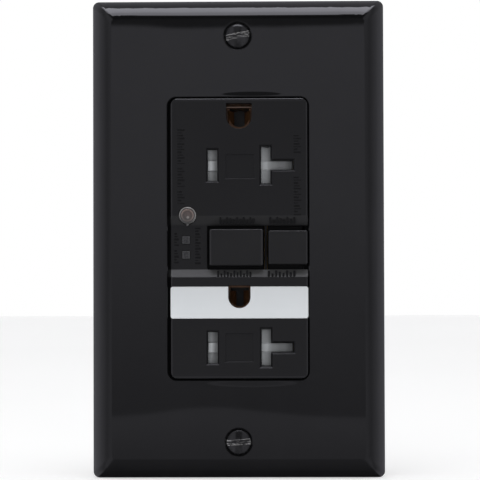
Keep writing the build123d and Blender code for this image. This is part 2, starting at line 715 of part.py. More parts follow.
# (radius, y) section of the annular cup round the sensing toroids
CUP_SECTION = (
    (3.4, 15.14), (9.2, 15.14), (9.2, 24.0), (8.5, 24.0),
    (8.5, 15.9), (4.2, 15.9), (4.2, 24.0), (3.4, 24.0),
)
with BuildPart() as transformer_housing:
    with BuildSketch(Plane.XY.offset(TOROID_Z)):
        with BuildLine():
            Polyline(*CUP_SECTION, close=True)
        make_face()
    revolve(axis=y_axis(0, TOROID_Z))
save(transformer_housing, "transformer_housing")

with BuildPart() as sensing_toroids:
    for y0, y1 in ((16.0, 19.5), (20.0, 23.5)):
        with BuildSketch(Plane.XY.offset(TOROID_Z)):
            with Locations((6.35, (y0 + y1) / 2)):
                RectangleRounded(4.1, y1 - y0, 1.0)
        revolve(axis=y_axis(0, TOROID_Z))
save(sensing_toroids, "sensing_toroids")

# Each conductor runs back through the toroids, outward, then forward to its terminal
CONDUCTOR_BACK = 25.2
with BuildPart() as line_conductors:
    for side in SIDES:
        for near, far, y0 in ((1.0, 2.4, 13.6), (1.0, 11.6, 24.4), (10.3, 11.6, 22.45)):
            block(on_side(side, near, far), (y0, CONDUCTOR_BACK), span(TOROID_Z, 0.8))
save(line_conductors, "line_conductors")

# ---------------------------------------------------------------- solenoid, axis along Z
COIL_AXIS = (0, 20.7)                # (x, y)
BORE_R = 2.08
BORE_Z0, BORE_LENGTH = 9, 17
FRAME_X, FRAME_Y = (-5.4, 6.3), (15.3, 26.1)
FRAME_Z = (9.3, 24.9)
FRAME_CHEEK_T = 0.9
with BuildPart() as solenoid_frame:
    block(FRAME_X, FRAME_Y, (FRAME_Z[0], FRAME_Z[0] + FRAME_CHEEK_T))
    block(FRAME_X, FRAME_Y, (FRAME_Z[1] - FRAME_CHEEK_T, FRAME_Z[1]))
    block((5.5, FRAME_X[1]), FRAME_Y, FRAME_Z)
    with BuildSketch(Plane.XY.offset(BORE_Z0)):
        circles(BORE_R, COIL_AXIS)
    extrude(amount=BORE_LENGTH, mode=Mode.SUBTRACT)
save(solenoid_frame, "solenoid_frame")

with BuildPart() as solenoid_bobbin:
    for z0, z1, radius in ((10.25, 11.05, 5.1), (10.25, 23.95, 3.1), (23.15, 23.95, 5.1)):
        with BuildSketch(Plane.XY.offset(z0)):
            circles(radius, COIL_AXIS)
        extrude(amount=z1 - z0)
    with BuildSketch(Plane.XY.offset(BORE_Z0)):
        circles(BORE_R, COIL_AXIS)
    extrude(amount=BORE_LENGTH, mode=Mode.SUBTRACT)
save(solenoid_bobbin, "solenoid_bobbin")

with BuildPart() as solenoid_winding:
    with BuildSketch(Plane.XY.offset(11.07)):
        ring(COIL_AXIS, outer=4.8, inner=3.12)
    extrude(amount=12.06)
save(solenoid_winding, "solenoid_winding")

with BuildPart() as solenoid_plunger:
    with BuildSketch(Plane.XY.offset(8.15)):
        circles(2.0, COIL_AXIS)
    extrude(amount=21.0)
    chamfer(solenoid_plunger.faces().sort_by(Axis.Z)[0].edges(), length=0.3)
    with BuildSketch(Plane.XY.offset(28.4)):
        circles(3.2, COIL_AXIS)
    extrude(amount=0.8)
save(solenoid_plunger, "solenoid_plunger")

with BuildPart() as plunger_spring:
    with BuildSketch(Plane.XY.offset(24.95)):
        ring(COIL_AXIS, outer=2.95, inner=2.3)
    extrude(amount=3.4)
save(plunger_spring, "plunger_spring")

# ---------------------------------------------------------------- rear cover
REAR_Y = (11.7, 28.0)
CUT_FRONT = 11                       # cuts start in front of the cover
SCREW_SEAT_Y = 26.6
WIRE_X = 18.75
INSIDE_Y = (CUT_FRONT, 26.4)
INSIDE = (                           # x and z ranges of the inside
    ((-15.0, 15.0), (-31.9, 31.9)),
    ((-20.0, 20.0), (-8.6, 8.6)),
    ((-20.0, 20.0), (25.4, 31.9)),
    ((14.0, 20.0), (-31.9, -25.4)),
)
with BuildPart() as rear_cover:
    with BuildSketch(at_y(REAR_Y[1])):
        RectangleRounded(BODY_W, BODY_H, 2.0)
    extrude(amount=REAR_Y[1] - REAR_Y[0])
    chamfer(rear_cover.faces().sort_by(Axis.Y)[-1].edges(), length=0.8)
    for x_range, z_range in INSIDE:
        block(x_range, INSIDE_Y, z_range, mode=Mode.SUBTRACT)
    # bosses for the assembly screws: boss, screw hole, head recess
    with BuildSketch(at_y(26.5)):
        circles(2.75, *SCREW_POS)
    extrude(amount=26.5 - REAR_Y[0])
    with BuildSketch(at_y(29)):
        circles(1.5, *SCREW_POS)
    extrude(amount=19, mode=Mode.SUBTRACT)
    with BuildSketch(at_y(SCREW_SEAT_Y)):
        circles(2.85, *SCREW_POS)
    extrude(amount=-3, mode=Mode.SUBTRACT)
    # side pockets of the four terminals, with wire entries from the back
    for side in SIDES:
        for end in (-1, 1):
            z = end * TERM_Z
            wall_x = on_side(side, 14.5, 17)
            block(on_side(side, 16.6, 23), (CUT_FRONT, 24.0), span(z, 6.8), mode=Mode.SUBTRACT)
            block(wall_x, (21.2, 22.6), span(z, 2.7), mode=Mode.SUBTRACT)
            with BuildSketch(Plane.YZ.offset(wall_x[0])):
                circles(2.5, (TERM_Y, z))
            extrude(amount=2.5, mode=Mode.SUBTRACT)
            for dz in WIRE_DZ:
                # wire hole, then its stepped lead-in: y, length, width, height, corner radius
                for y, length, width, height, corner in (
                    (23.5, 5, 2.3, 2.8, 0.6),
                    (27.2, 1.2, 3.1, 3.6, 0.9),
                ):
                    with BuildSketch(at_y(y)):
                        with Locations((side * WIRE_X, z + dz)):
                            RectangleRounded(width, height, corner)
                    extrude(amount=-length, mode=Mode.SUBTRACT)
    # corner left open for the ground terminal
    block((-23, -16.4), (CUT_FRONT, 29), (-35, -26.6), mode=Mode.SUBTRACT)
save(rear_cover, "rear_cover")

with BuildPart() as assembly_screws:
    for place in SCREW_POS:
        with BuildSketch(at_y(SCREW_SEAT_Y)):
            circles(1.4, place)
        extrude(amount=30.3)
        with BuildSketch(at_y(27.8)):
            circles(2.65, place)
        extrude(amount=1.2)
        # cross recess
        with BuildSketch(at_y(27.9)):
            with Locations(place):
                Rectangle(3.2, 0.7)
                Rectangle(0.7, 3.2)
        extrude(amount=0.8, mode=Mode.SUBTRACT)
save(assembly_screws, "assembly_screws")


# ---------------------------------------------------------------- terminals
def make_terminal(name, side, z):
    with BuildPart() as terminal:
        block(on_side(side, *TERM_PLATE), (12.5, 23.2), span(z, 6.0))
        # tongue that reaches inward behind the board
        block(on_side(side, 10.2, TERM_PLATE[1]), (21.4, 22.4), span(z, 2.5))
        with BuildSketch(Plane.YZ.offset(-18)):
            circles(TERM_HOLE_R, (TERM_Y, z))
        extrude(amount=36, mode=Mode.SUBTRACT)
    save(terminal, name)


def make_clamp(name, side, z):
    x0, x1 = on_side(side, *TERM_CLAMP)
    with BuildPart() as clamp:
        with BuildSketch(Plane.YZ.offset(x0)):
            with Locations((TERM_Y, z)):
                RectangleRounded(8.6, 10.6, 0.8)
                Circle(TERM_HOLE_R, mode=Mode.SUBTRACT)
        extrude(amount=x1 - x0)
        # grooves that bite on the wires
        for dz in WIRE_DZ:
            block(on_side(side, 19.7, 20.0), span(TERM_Y, 5), span(z + dz, 0.5),
                  mode=Mode.SUBTRACT)
    save(clamp, name)


def make_terminal_screw(name, side, z):
    with BuildPart() as screw:
        # shank, then head
        for radius, near, far in ((TERM_R, TERM_TIP, TERM_HEAD[0] + 0.2), (4.2, *TERM_HEAD)):
            x0, x1 = on_side(side, near, far)
            with BuildSketch(Plane.YZ.offset(x0)):
                circles(radius, (TERM_Y, z))
            extrude(amount=x1 - x0)
        outer_face = screw.faces().sort_by(Axis.X)[-1 if side > 0 else 0]
        fillet(outer_face.edges(), radius=0.6)
        # slot across the head, crossed by a short one
        slot_x = on_side(side, 22.0, 24)
        block(slot_x, span(TERM_Y, 4.4), span(z, DRIVE_HALF), mode=Mode.SUBTRACT)
        block(slot_x, span(TERM_Y, 0.6), span(z, 2.2), mode=Mode.SUBTRACT)
    save(screw, name)


for circuit, end in (("line", -1), ("load", 1)):
    for pole, side in (("hot", -1), ("neutral", 1)):
        prefix = circuit + "_" + pole
        make_terminal(prefix + "_terminal", side, end * TERM_Z)
        make_clamp(prefix + "_clamp", side, end * TERM_Z)
        make_terminal_screw(prefix + "_screw", side, end * TERM_Z)

with BuildPart() as ground_clamp:
    with BuildSketch(Plane.YZ.offset(-21.4)):
        with Locations(GND):
            RectangleRounded(7.6, 7.2, 0.8)
            Circle(TERM_HOLE_R, mode=Mode.SUBTRACT)
    extrude(amount=1.2)
save(ground_clamp, "ground_clamp")

# Slotted hexagon-head ground screw
with BuildPart() as ground_screw:
    with BuildSketch(Plane.YZ.offset(-21.6)):
        circles(TERM_R, GND)
    extrude(amount=5.3)
    with BuildSketch(Plane.YZ.offset(-21.45)):
        with Locations(GND):
            RegularPolygon(radius=3.95, side_count=6)
    extrude(amount=-2.2)
    block((-24.5, -22.8), span(GND[0], 4.5), span(GND[1], DRIVE_HALF), mode=Mode.SUBTRACT)
save(ground_screw, "ground_screw")
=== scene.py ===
"""A black wall outlet in its cover plate, with shuttered holes, buttons, a guide light and a
photocell, and the works behind it. It stands upright: X runs to the right, Z runs up and the
front faces -Y, towards the camera. Meshes are drawn in millimetres, materials and the
surroundings in metres.
"""

import json
import math

import bmesh
import bpy
from mathutils import Matrix, Vector


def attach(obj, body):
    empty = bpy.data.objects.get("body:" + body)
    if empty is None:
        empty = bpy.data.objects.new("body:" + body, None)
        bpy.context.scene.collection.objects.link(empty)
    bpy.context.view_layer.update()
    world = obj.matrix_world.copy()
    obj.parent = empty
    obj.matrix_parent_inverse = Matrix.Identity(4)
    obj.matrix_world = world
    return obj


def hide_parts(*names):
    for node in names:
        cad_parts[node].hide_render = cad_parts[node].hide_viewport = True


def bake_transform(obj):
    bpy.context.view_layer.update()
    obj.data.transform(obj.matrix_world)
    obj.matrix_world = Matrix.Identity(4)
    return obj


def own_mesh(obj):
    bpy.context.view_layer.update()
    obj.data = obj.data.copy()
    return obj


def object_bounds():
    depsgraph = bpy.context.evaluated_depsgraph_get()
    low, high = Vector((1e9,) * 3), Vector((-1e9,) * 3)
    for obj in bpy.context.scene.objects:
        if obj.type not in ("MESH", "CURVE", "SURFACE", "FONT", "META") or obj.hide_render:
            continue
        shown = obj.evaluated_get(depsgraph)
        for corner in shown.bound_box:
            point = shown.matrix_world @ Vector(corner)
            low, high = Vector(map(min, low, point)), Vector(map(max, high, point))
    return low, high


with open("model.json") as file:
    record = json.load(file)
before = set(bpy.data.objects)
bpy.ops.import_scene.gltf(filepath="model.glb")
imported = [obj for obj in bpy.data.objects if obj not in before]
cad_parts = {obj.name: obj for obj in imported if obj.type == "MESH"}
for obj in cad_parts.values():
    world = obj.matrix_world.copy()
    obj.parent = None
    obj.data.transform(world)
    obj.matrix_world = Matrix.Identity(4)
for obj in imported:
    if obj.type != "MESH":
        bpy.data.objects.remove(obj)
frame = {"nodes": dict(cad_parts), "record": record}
cad_lo, cad_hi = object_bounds()
MM = 0.001

# Places shared by meshes and materials, mm
UPPER_SHUTTER_Z = 17.4
LOWER_SHUTTER_Z = -26.0
PLATE_SCREW_X = -0.27
PLATE_SCREW_Z = 48.42  # above and below the middle
PHOTOCELL_X = -12.3


# ------------------------------------------------------------------ node helpers
class Graph:
    """Short ways to add and wire shader nodes in an emptied tree."""

    def __init__(self, tree):
        self.tree = tree
        tree.nodes.clear()

    def new(self, kind, **props):
        node = self.tree.nodes.new(kind)
        for name, value in props.items():
            setattr(node, name, value)
        return node

    def feed(self, node, inputs):
        """Links or sets each input, keyed by its name or number."""
        for key, value in inputs.items():
            if isinstance(value, bpy.types.NodeSocket):
                self.tree.links.new(value, node.inputs[key])
            else:
                node.inputs[key].default_value = value

    def split(self, vector):
        node = self.new("ShaderNodeSeparateXYZ")
        self.feed(node, {0: vector})
        return node.outputs

    def math(self, op, *values, clamp=False):
        node = self.new("ShaderNodeMath", operation=op, use_clamp=clamp)
        self.feed(node, dict(enumerate(values)))
        return node.outputs[0]

    def add(self, a, b):
        return self.math("ADD", a, b)

    def subtract(self, a, b):
        return self.math("SUBTRACT", a, b)

    def multiply(self, a, b):
        return self.math("MULTIPLY", a, b)

    def absolute(self, a):
        return self.math("ABSOLUTE", a)

    def maximum(self, a, b):
        return self.math("MAXIMUM", a, b)

    def minimum(self, a, b):
        return self.math("MINIMUM", a, b)

    def distance(self, dx, dz):
        squares = self.add(self.math("POWER", dx, 2), self.math("POWER", dz, 2))
        return self.math("SQRT", squares)

    def range(self, value, start, end, low=0.0, high=1.0, kind="LINEAR"):
        """Carries start..end to low..high, held level outside."""
        node = self.new("ShaderNodeMapRange", interpolation_type=kind)
        self.feed(node, {"From Min": start, "From Max": end, "To Min": low, "To Max": high,
                         "Value": value})
        return node.outputs[0]

    def fall(self, value, start, end):
        return self.range(value, start, end, 1.0, 0.0)

    def band(self, value, start, full, fade, end):
        """1 between full and fade, 0 before start and after end."""
        return self.multiply(self.range(value, start, full), self.fall(value, fade, end))

    def spread(self, noise, low, high):
        """Carries the middle of a noise's values to low..high."""
        return self.range(noise, 0.3, 0.7, low, high)

    def ramp(self, value, stops):
        """Colour ramp through (position, rgb) stops."""
        node = self.new("ShaderNodeValToRGB")
        elements = node.color_ramp.elements
        while len(elements) < len(stops):
            elements.new(0.5)
        for element, (position, colour) in zip(elements, stops):
            element.position = position
            element.color = (*colour, 1.0)
        self.feed(node, {0: value})
        return node.outputs[0]

    def two_tone(self, value, first, second, ends=(0.3, 0.7)):
        return self.ramp(value, [(ends[0], first), (ends[1], second)])

    def curve(self, value, points, scale=1.0):
        """Piecewise-linear function through (value, result) points; scale is the top result."""
        low, high = points[0][0], points[-1][0]
        stops = [((p - low) / (high - low), (q / scale,) * 3) for p, q in points]
        return self.multiply(self.ramp(self.range(value, low, high), stops), scale)

    def mix(self, factor, a, b):
        """Mixes two colours, each an rgb tuple or a socket."""
        node = self.new("ShaderNodeMix", data_type="RGBA")
        a, b = ((*c, 1.0) if isinstance(c, tuple) else c for c in (a, b))
        self.feed(node, {0: factor, 6: a, 7: b})
        return node.outputs[2]

    def mix_value(self, factor, a, b):
        node = self.new("ShaderNodeMix", data_type="FLOAT")
        self.feed(node, {0: factor, 2: a, 3: b})
        return node.outputs[0]


class Mat(Graph):
    """A principled material; edge is the radius its corners are softened to, in metres."""

    def __init__(self, name, edge=None):
        self.material = bpy.data.materials.new(name)
        self.material.use_nodes = True
        super().__init__(self.material.node_tree)
        output = self.new("ShaderNodeOutputMaterial")
        self.shader = self.new("ShaderNodeBsdfPrincipled")
        self.feed(output, {0: self.shader.outputs[0]})
        self.coord = self.new("ShaderNodeTexCoord").outputs["Object"]
        self.normal = None
        if edge is not None:
            bevel = self.new("ShaderNodeBevel", samples=6)
            self.feed(bevel, {"Radius": edge})
            self.normal = bevel.outputs[0]

    def set(self, **inputs):
        """Sets or links inputs of the shader, spaces written as underscores."""
        self.feed(self.shader, {key.replace("_", " "): v for key, v in inputs.items()})

    def xyz(self):
        return self.split(self.coord)

    def noise(self, scale, detail=3, roughness=0.55, stretch=(1, 1, 1)):
        mapping = self.new("ShaderNodeMapping")
        self.feed(mapping, {"Scale": stretch, "Vector": self.coord})
        node = self.new("ShaderNodeTexNoise")
        self.feed(node, {"Scale": scale, "Detail": detail, "Roughness": roughness,
                         "Vector": mapping.outputs[0]})
        return node.outputs["Fac"]

    def bump(self, height, depth):
        node = self.new("ShaderNodeBump")
        self.feed(node, {"Distance": depth, "Strength": 1.0, "Height": height})
        if self.normal is not None:
            self.feed(node, {"Normal": self.normal})
        self.normal = node.outputs[0]

    def mottled(self, colour, amount):
        pale_dark = tone(colour, 1 - amount), tone(colour, 1 + amount)
        self.set(Base_Color=self.two_tone(self.noise(90), *pale_dark, ends=(0.25, 0.75)))

    def rough(self, low, high, scale=700, detail=3):
        """Roughness wandering between two values."""
        self.set(Roughness=self.spread(self.noise(scale, detail), low, high))

    def done(self):
        if self.normal is not None:
            self.set(Normal=self.normal)
        return self.material


def tone(colour, k):
    return tuple(min(1.0, channel * k) for channel in colour)


# ------------------------------------------------------------------ general materials
def moulded(name, colour, rough, grain=2e-6, grain_scale=9000, mottle=0.12, edge=0.00012,
            ior=1.5, scuff=0.0):
    """Moulded plastic: slight mottling, fine grain and optional streaky scuffs."""
    m = Mat(name, edge)
    m.mottled(colour, mottle)
    roughness = m.spread(m.noise(700), *rough)
    if scuff:
        lines = m.noise(260, detail=6, roughness=0.7, stretch=(1, 1, 9))
        roughness = m.add(roughness, m.multiply(m.range(lines, 0.62, 0.75), scuff))
    m.set(Roughness=roughness, IOR=ior)
    m.bump(m.noise(grain_scale, detail=2), depth=grain)
    return m.done()


def metal(name, colour, rough, brush, tarnish):
    """Rolled or plated metal: tarnish blotches and fine lines, stretched by brush along Z."""
    m = Mat(name, edge=0.00008)
    blotches = m.noise(160, detail=5, roughness=0.6)
    stops = [(0.3, tone(colour, 1 - tarnish)), (0.6, colour), (0.85, tone(colour, 1.08))]
    lines_stretch = (1, 1, brush)
    m.set(Metallic=1.0, Base_Color=m.ramp(blotches, stops))
    lines = m.noise(1800, roughness=0.6, stretch=lines_stretch)
    m.set(Roughness=m.spread(lines, *rough))
    m.bump(lines, depth=3e-6)
    return m.done()


# ------------------------------------------------------------------ black mouldings on the front
def swell(m, dx, dz, width, height):
    """Smooth swelling that dies away from its centre."""
    across = m.math("POWER", m.multiply(dx, 1 / width), 2)
    away = m.math("POWER", m.multiply(dz, 1 / height), 2)
    return m.math("POWER", math.e, m.multiply(m.add(across, away), -1.0))


def gloss_black_plate():
    m = Mat("gloss_black_plate", edge=0.00018)
    m.mottled((0.0052, 0.0052, 0.0056), 0.15)
    m.rough(0.010, 0.021, detail=4)
    m.set(IOR=1.5)
    m.bump(m.noise(22, detail=1.5, roughness=0.35), depth=4.5e-5)
    x, _, z = m.xyz()
    # slightly proud along the middle of the opening's top and bottom edges
    dx = m.subtract(x, 0.003)
    dz = m.subtract(m.absolute(z), 0.0337)
    m.bump(swell(m, dx, dz, width=0.0095, height=0.0010), depth=3.2e-5)
    # a broad low swelling about the opening's lower edge
    dx = m.add(x, 0.007)
    dz = m.add(z, 0.034)
    m.bump(swell(m, dx, dz, width=0.019, height=0.009), depth=2.4e-5)
    return m.done()


def satin_black_face():
    """Satin, but crisper round the outer rim, with painted light: a paler slope above the
    buttons, a painted streaky sheen on the ledge under the buttons, a painted highlight on the
    rim and painted shade in sunken parts.
    """
    m = Mat("satin_black_face", edge=0.00022)
    x, y, z = m.xyz()
    colour = m.two_tone(m.noise(60), (0.0050, 0.0050, 0.0056), (0.0062, 0.0062, 0.0068))
    # painted light: the slope above the buttons is coloured paler, as if catching the light
    slope = m.band(z, 0.00295, 0.0035, 0.0053, 0.0055)
    colour = m.mix(slope, colour, (0.0160, 0.0160, 0.0165))
    # painted reflection: a streaky pale sheen on the ledge under the buttons
    ledge = m.band(z, -0.00925, -0.00910, -0.00745, -0.0073)
    streaks = m.noise(420, detail=5, roughness=0.7, stretch=(0.5, 1, 2.4))
    painted_ledge_sheen = m.multiply(ledge, m.spread(streaks, 0.65, 1.0))
    m.set(Base_Color=m.mix(painted_ledge_sheen, colour, (0.062, 0.0625, 0.064)))
    rim = m.maximum(m.range(m.absolute(z), 0.0326, 0.0329),
                    m.range(m.absolute(x), 0.0158, 0.0161))
    rim = m.multiply(rim, m.fall(y, -0.0060, -0.0058))
    roughness = m.spread(m.noise(700, detail=4), 0.38, 0.46)
    m.set(Roughness=m.subtract(roughness, m.multiply(rim, 0.24)))
    # painted shade: lowered specular on sunken surfaces; painted highlight: raised specular on
    # the rim
    sunken = m.range(y, -0.00490, -0.0045, 0.5, 0.10)
    m.set(Specular_IOR_Level=m.add(sunken, m.multiply(rim, 0.25)))
    m.bump(m.noise(7000, detail=2), depth=1.6e-6)
    return m.done()


def satin_black_buttons():
    """Satin fronts, with a painted glint close to three upright lines and painted shade inside
    the opening.
    """
    m = Mat("satin_black_buttons", edge=0.00025)
    x, y, _ = m.xyz()
    m.set(Base_Color=m.two_tone(m.noise(90), (0.0070, 0.0070, 0.0075),
                                (0.0095, 0.0095, 0.0101), ends=(0.25, 0.75)))
    # painted highlight: raised specular close to the buttons' upright edges
    right = m.minimum(m.absolute(m.subtract(x, 0.0055)), m.absolute(m.subtract(x, 0.0163)))
    painted_edge_glint = m.maximum(m.fall(right, 0.00030, 0.00045),
                      m.fall(m.absolute(m.add(x, 0.0071)), 0.00035, 0.0005))
    painted_edge_glint = m.multiply(painted_edge_glint, m.fall(y, -0.0056, -0.0052))
    m.rough(0.36, 0.44, detail=4)
    # painted shade: lowered specular on surfaces deep in the opening
    sunken = m.range(y, -0.0052, -0.0047, 0.5, 0.10)
    m.set(Specular_IOR_Level=m.add(sunken, m.multiply(painted_edge_glint, 0.3)))
    m.bump(m.noise(8000, detail=2), depth=1.4e-6)
    return m.done()


# ------------------------------------------------------------------ shutter
# Painted light and shade across the shutter: (x in mm, grey) on the raised pads and on the flanks
SHUTTER_SPAN = (-8.0, 13.0)
PAD_PAINTED_LIGHT = [
    (-7.45, 0.62), (-6.74, 0.64), (-6.26, 0.42), (-5.7, 0.21), (5.6, 0.46), (6.6, 0.44),
    (7.04, 0.31), (7.6, 0.28), (8.5, 0.27), (9.4, 0.22), (10.85, 0.21), (11.3, 0.17),
    (12.0, 0.12),
]
FLANK_PAINTED_SHADE = [
    (-7.45, 0.38), (-6.74, 0.43), (-6.26, 0.28), (-5.7, 0.18), (5.6, 0.42), (6.1, 0.34),
    (6.6, 0.29), (7.1, 0.20),
]


def grey_shutter():
    """Painted light and shade: paler on the raised pads, painted shade on the flanks, mostly
    lighter to the left; finely ribbed.
    """
    m = Mat("grey_shutter", edge=0.00008)
    x, _, z = m.xyz()
    near = m.minimum(m.absolute(m.subtract(z, UPPER_SHUTTER_Z * MM)),
                     m.absolute(m.add(z, -LOWER_SHUTTER_Z * MM)))
    pad = m.fall(near, 0.00095, 0.00125)
    low, high = SHUTTER_SPAN
    waver = m.multiply(m.subtract(m.noise(500), 0.5), 0.0006)
    across = m.range(m.add(x, waver), low * MM, high * MM)
    ribs = m.absolute(m.math("SINE", m.multiply(z, 9500.0)))

    def along(greys):
        stops = [((q - low) / (high - low), (v * 0.965, v, v * 1.035)) for q, v in greys]
        return m.ramp(across, stops)

    # painted light on the pads and painted shade on the flanks, mostly darker to the right
    pads = along(PAD_PAINTED_LIGHT)
    m.set(Base_Color=m.mix(pad, along(FLANK_PAINTED_SHADE), pads))
    m.rough(0.4, 0.5, scale=900)
    m.bump(ribs, depth=1.2e-5)
    return m.done()


# ------------------------------------------------------------------ lights and photocell
def frosted_light_bar():
    """Translucent bar, greyer higher up with painted shade."""
    m = Mat("frosted_light_bar", edge=0.00018)
    cloud = m.noise(60)
    _, _, z = m.xyz()
    pale = m.two_tone(cloud, (0.715, 0.742, 0.768), (0.745, 0.772, 0.798))
    # painted shade: the colour greys towards the bar's top edge
    m.set(Base_Color=m.mix(m.range(z, -0.0122, -0.0178, 0.22, 0.0), pale, (0.42, 0.43, 0.44)))
    m.rough(0.28, 0.36, scale=500)
    m.set(Subsurface_Weight=0.25, Subsurface_Scale=0.0012, Subsurface_Radius=(1.0, 1.0, 1.0))
    m.bump(m.noise(6000, detail=2), depth=1.2e-6)
    return m.done()


# Rings of the sensor seen in the dome: (share of the outer radius, colour)
SENSOR_RINGS = [
    (0.0, (0.090, 0.070, 0.066)), (0.30, (0.115, 0.085, 0.080)),
    (0.40, (0.070, 0.055, 0.052)), (0.55, (0.100, 0.078, 0.072)),
    (0.62, (0.27, 0.20, 0.18)), (0.68, (0.25, 0.20, 0.19)),
    (0.76, (0.062, 0.056, 0.055)), (0.83, (0.09, 0.085, 0.085)),
    (0.89, (0.42, 0.41, 0.41)), (1.0, (0.36, 0.36, 0.36)),
]


def photocell_dome():
    """Clear moulding over the sensor's ringed face, with painted shade low down and a painted
    highlight just off the centre.
    """
    m = Mat("photocell_dome")
    x, _, z = m.xyz()
    dx = m.subtract(x, PHOTOCELL_X * MM)
    dz = m.subtract(z, 0.0055)
    radius = m.distance(dx, dz)
    wobble = m.multiply(m.subtract(m.noise(900), 0.5), 0.0002)
    share = m.range(m.add(radius, wobble), 0.0, 0.0021)
    grain = m.noise(2600, roughness=0.7)
    rings = m.ramp(share, SENSOR_RINGS)
    rings = m.mix(m.range(grain, 0.35, 0.65, 0.0, 0.45), rings, (0.04, 0.033, 0.031))
    # painted highlight just off the centre
    painted_highlight_distance = m.distance(m.subtract(dx, 0.0001), m.add(dz, 0.0005))
    rings = m.mix(m.fall(painted_highlight_distance, 0.00020, 0.00042), rings, (0.34, 0.31, 0.30))
    # painted shade: the dome darkens towards the bottom
    lit = m.range(m.add(dz, m.multiply(dx, 0.25)), -0.0021, 0.0006)
    m.set(Base_Color=m.mix(lit, (0.055, 0.055, 0.055), rings))
    m.rough(0.06, 0.11, scale=900)
    m.set(IOR=1.5, Transmission_Weight=0.15)
    m.bump(m.noise(600, detail=2), depth=1.0e-6)
    return m.done()


def smoky_light_pipe():
    """Two dark windows, one above the other, each with a moulded rim."""
    m = Mat("smoky_light_pipe")
    x, _, z = m.xyz()
    dx = m.absolute(m.subtract(x, -0.0127))
    dz = m.minimum(m.absolute(m.add(z, 0.00032)), m.absolute(m.add(z, 0.00388)))
    out = m.maximum(dx, dz)
    body = m.two_tone(m.noise(1500), (0.016, 0.016, 0.018), (0.042, 0.042, 0.045))
    m.set(Base_Color=m.mix(m.range(out, 0.00055, 0.00066), body, (0.046, 0.0465, 0.049)))
    m.rough(0.12, 0.2, scale=900)
    m.set(IOR=1.49, Transmission_Weight=0.12)
    m.bump(m.range(out, 0.00050, 0.00068), depth=3e-5)
    return m.done()


# ------------------------------------------------------------------ metals of their own
def black_oxide_worn():
    """Plate screws: black coating, rubbed off inside the driver slot, with a painted shadow ring
    round the head.
    """
    m = Mat("black_oxide_worn", edge=0.0001)
    in_slot = m.new("ShaderNodeAttribute", attribute_name="wear").outputs["Fac"]
    scratches = m.noise(1300, detail=6, roughness=0.75, stretch=(0.30, 1, 3.0))
    x, _, z = m.xyz()
    upper = m.math("GREATER_THAN", z, 0.0)
    dx = m.add(x, -PLATE_SCREW_X * MM)
    dz = m.subtract(z, m.multiply(m.math("SIGN", z), PLATE_SCREW_Z * MM))
    # how steeply each slot leans, the upper one more
    lean = m.add(m.multiply(upper, 0.112), 0.0785)
    off = m.absolute(m.subtract(dz, m.multiply(dx, lean)))
    arris = m.range(off, 0.00050, 0.00057)
    scuffs = m.range(scratches, 0.54, 0.60)
    patches = m.multiply(m.range(m.noise(1100, roughness=0.6), 0.40, 0.52), 0.75)
    wear_and_painted_highlight = m.maximum(m.multiply(arris, patches), scuffs)
    wear = m.math("MULTIPLY", wear_and_painted_highlight, in_slot, clamp=True)
    # painted shadow: a near-black, dull ring round the edge of the head
    ring = m.range(m.distance(dx, dz), 0.00288, 0.00294)
    dark = m.two_tone(m.noise(600, detail=4), (0.006, 0.006, 0.0065), (0.020, 0.020, 0.022))
    m.set(Base_Color=m.mix(ring, m.mix(wear, dark, (0.80, 0.79, 0.77)), (0.002, 0.002, 0.002)))
    m.set(Specular_IOR_Level=m.subtract(0.5, m.multiply(ring, 0.42)), Metallic=wear)
    bare = m.two_tone(scratches, (0.22,) * 3, (0.42,) * 3)
    m.set(Roughness=m.mix(wear, (0.11, 0.11, 0.11), bare))
    m.bump(m.noise(400), depth=2e-6)
    m.bump(m.multiply(scratches, in_slot), depth=1.2e-5)
    return m.done()


def copper_contacts():
    """Bright metal; inside the holes brown oxide with painted shade, darkest just inside the
    mouth; painted light and shade on the mouth's front edge.
    """
    m = Mat("copper_contacts", edge=0.00008)
    _, y, z = m.xyz()
    blotches = m.noise(160, detail=5, roughness=0.6)
    bright = m.ramp(blotches, [(0.3, (0.50, 0.29, 0.20)), (0.6, (0.72, 0.42, 0.29)),
                               (0.85, (0.80, 0.48, 0.33))])
    film = m.noise(500, detail=4, roughness=0.6, stretch=(1.6, 1, 0.3))
    brown = m.two_tone(film, (0.13, 0.060, 0.024), (0.22, 0.105, 0.045))
    # painted shade: darkest just inside the mouth, browner further back
    brown = m.mix(m.range(y, -0.0036, -0.0012), (0.030, 0.016, 0.008), brown)
    deep = m.band(y, -0.00388, -0.0036, 0.0085, 0.0100)
    colour = m.mix(deep, bright, brown)
    edge_on = m.fall(y, -0.00388, -0.00386)
    # painted highlight on the upper and lower rims of the top mouth; painted shade on the rest of
    # the mouths' front edges
    away = m.absolute(m.subtract(z, 0.0288))
    wear_and_painted_highlight = m.multiply(m.math("GREATER_THAN", away, 0.0023), m.math("GREATER_THAN", z, 0.0))
    rim = m.mix(wear_and_painted_highlight, (0.035, 0.024, 0.018), (0.30, 0.215, 0.165))
    m.set(Base_Color=m.mix(edge_on, colour, rim))
    # the browned film, oxide with painted shade, is mostly dull
    m.set(Metallic=m.subtract(1.0, m.multiply(deep, 0.75)))
    lines = m.noise(1800, roughness=0.6, stretch=(1, 1, 0.2))
    m.set(Roughness=m.spread(lines, 0.24, 0.42))
    m.bump(lines, depth=3e-6)
    return m.done()


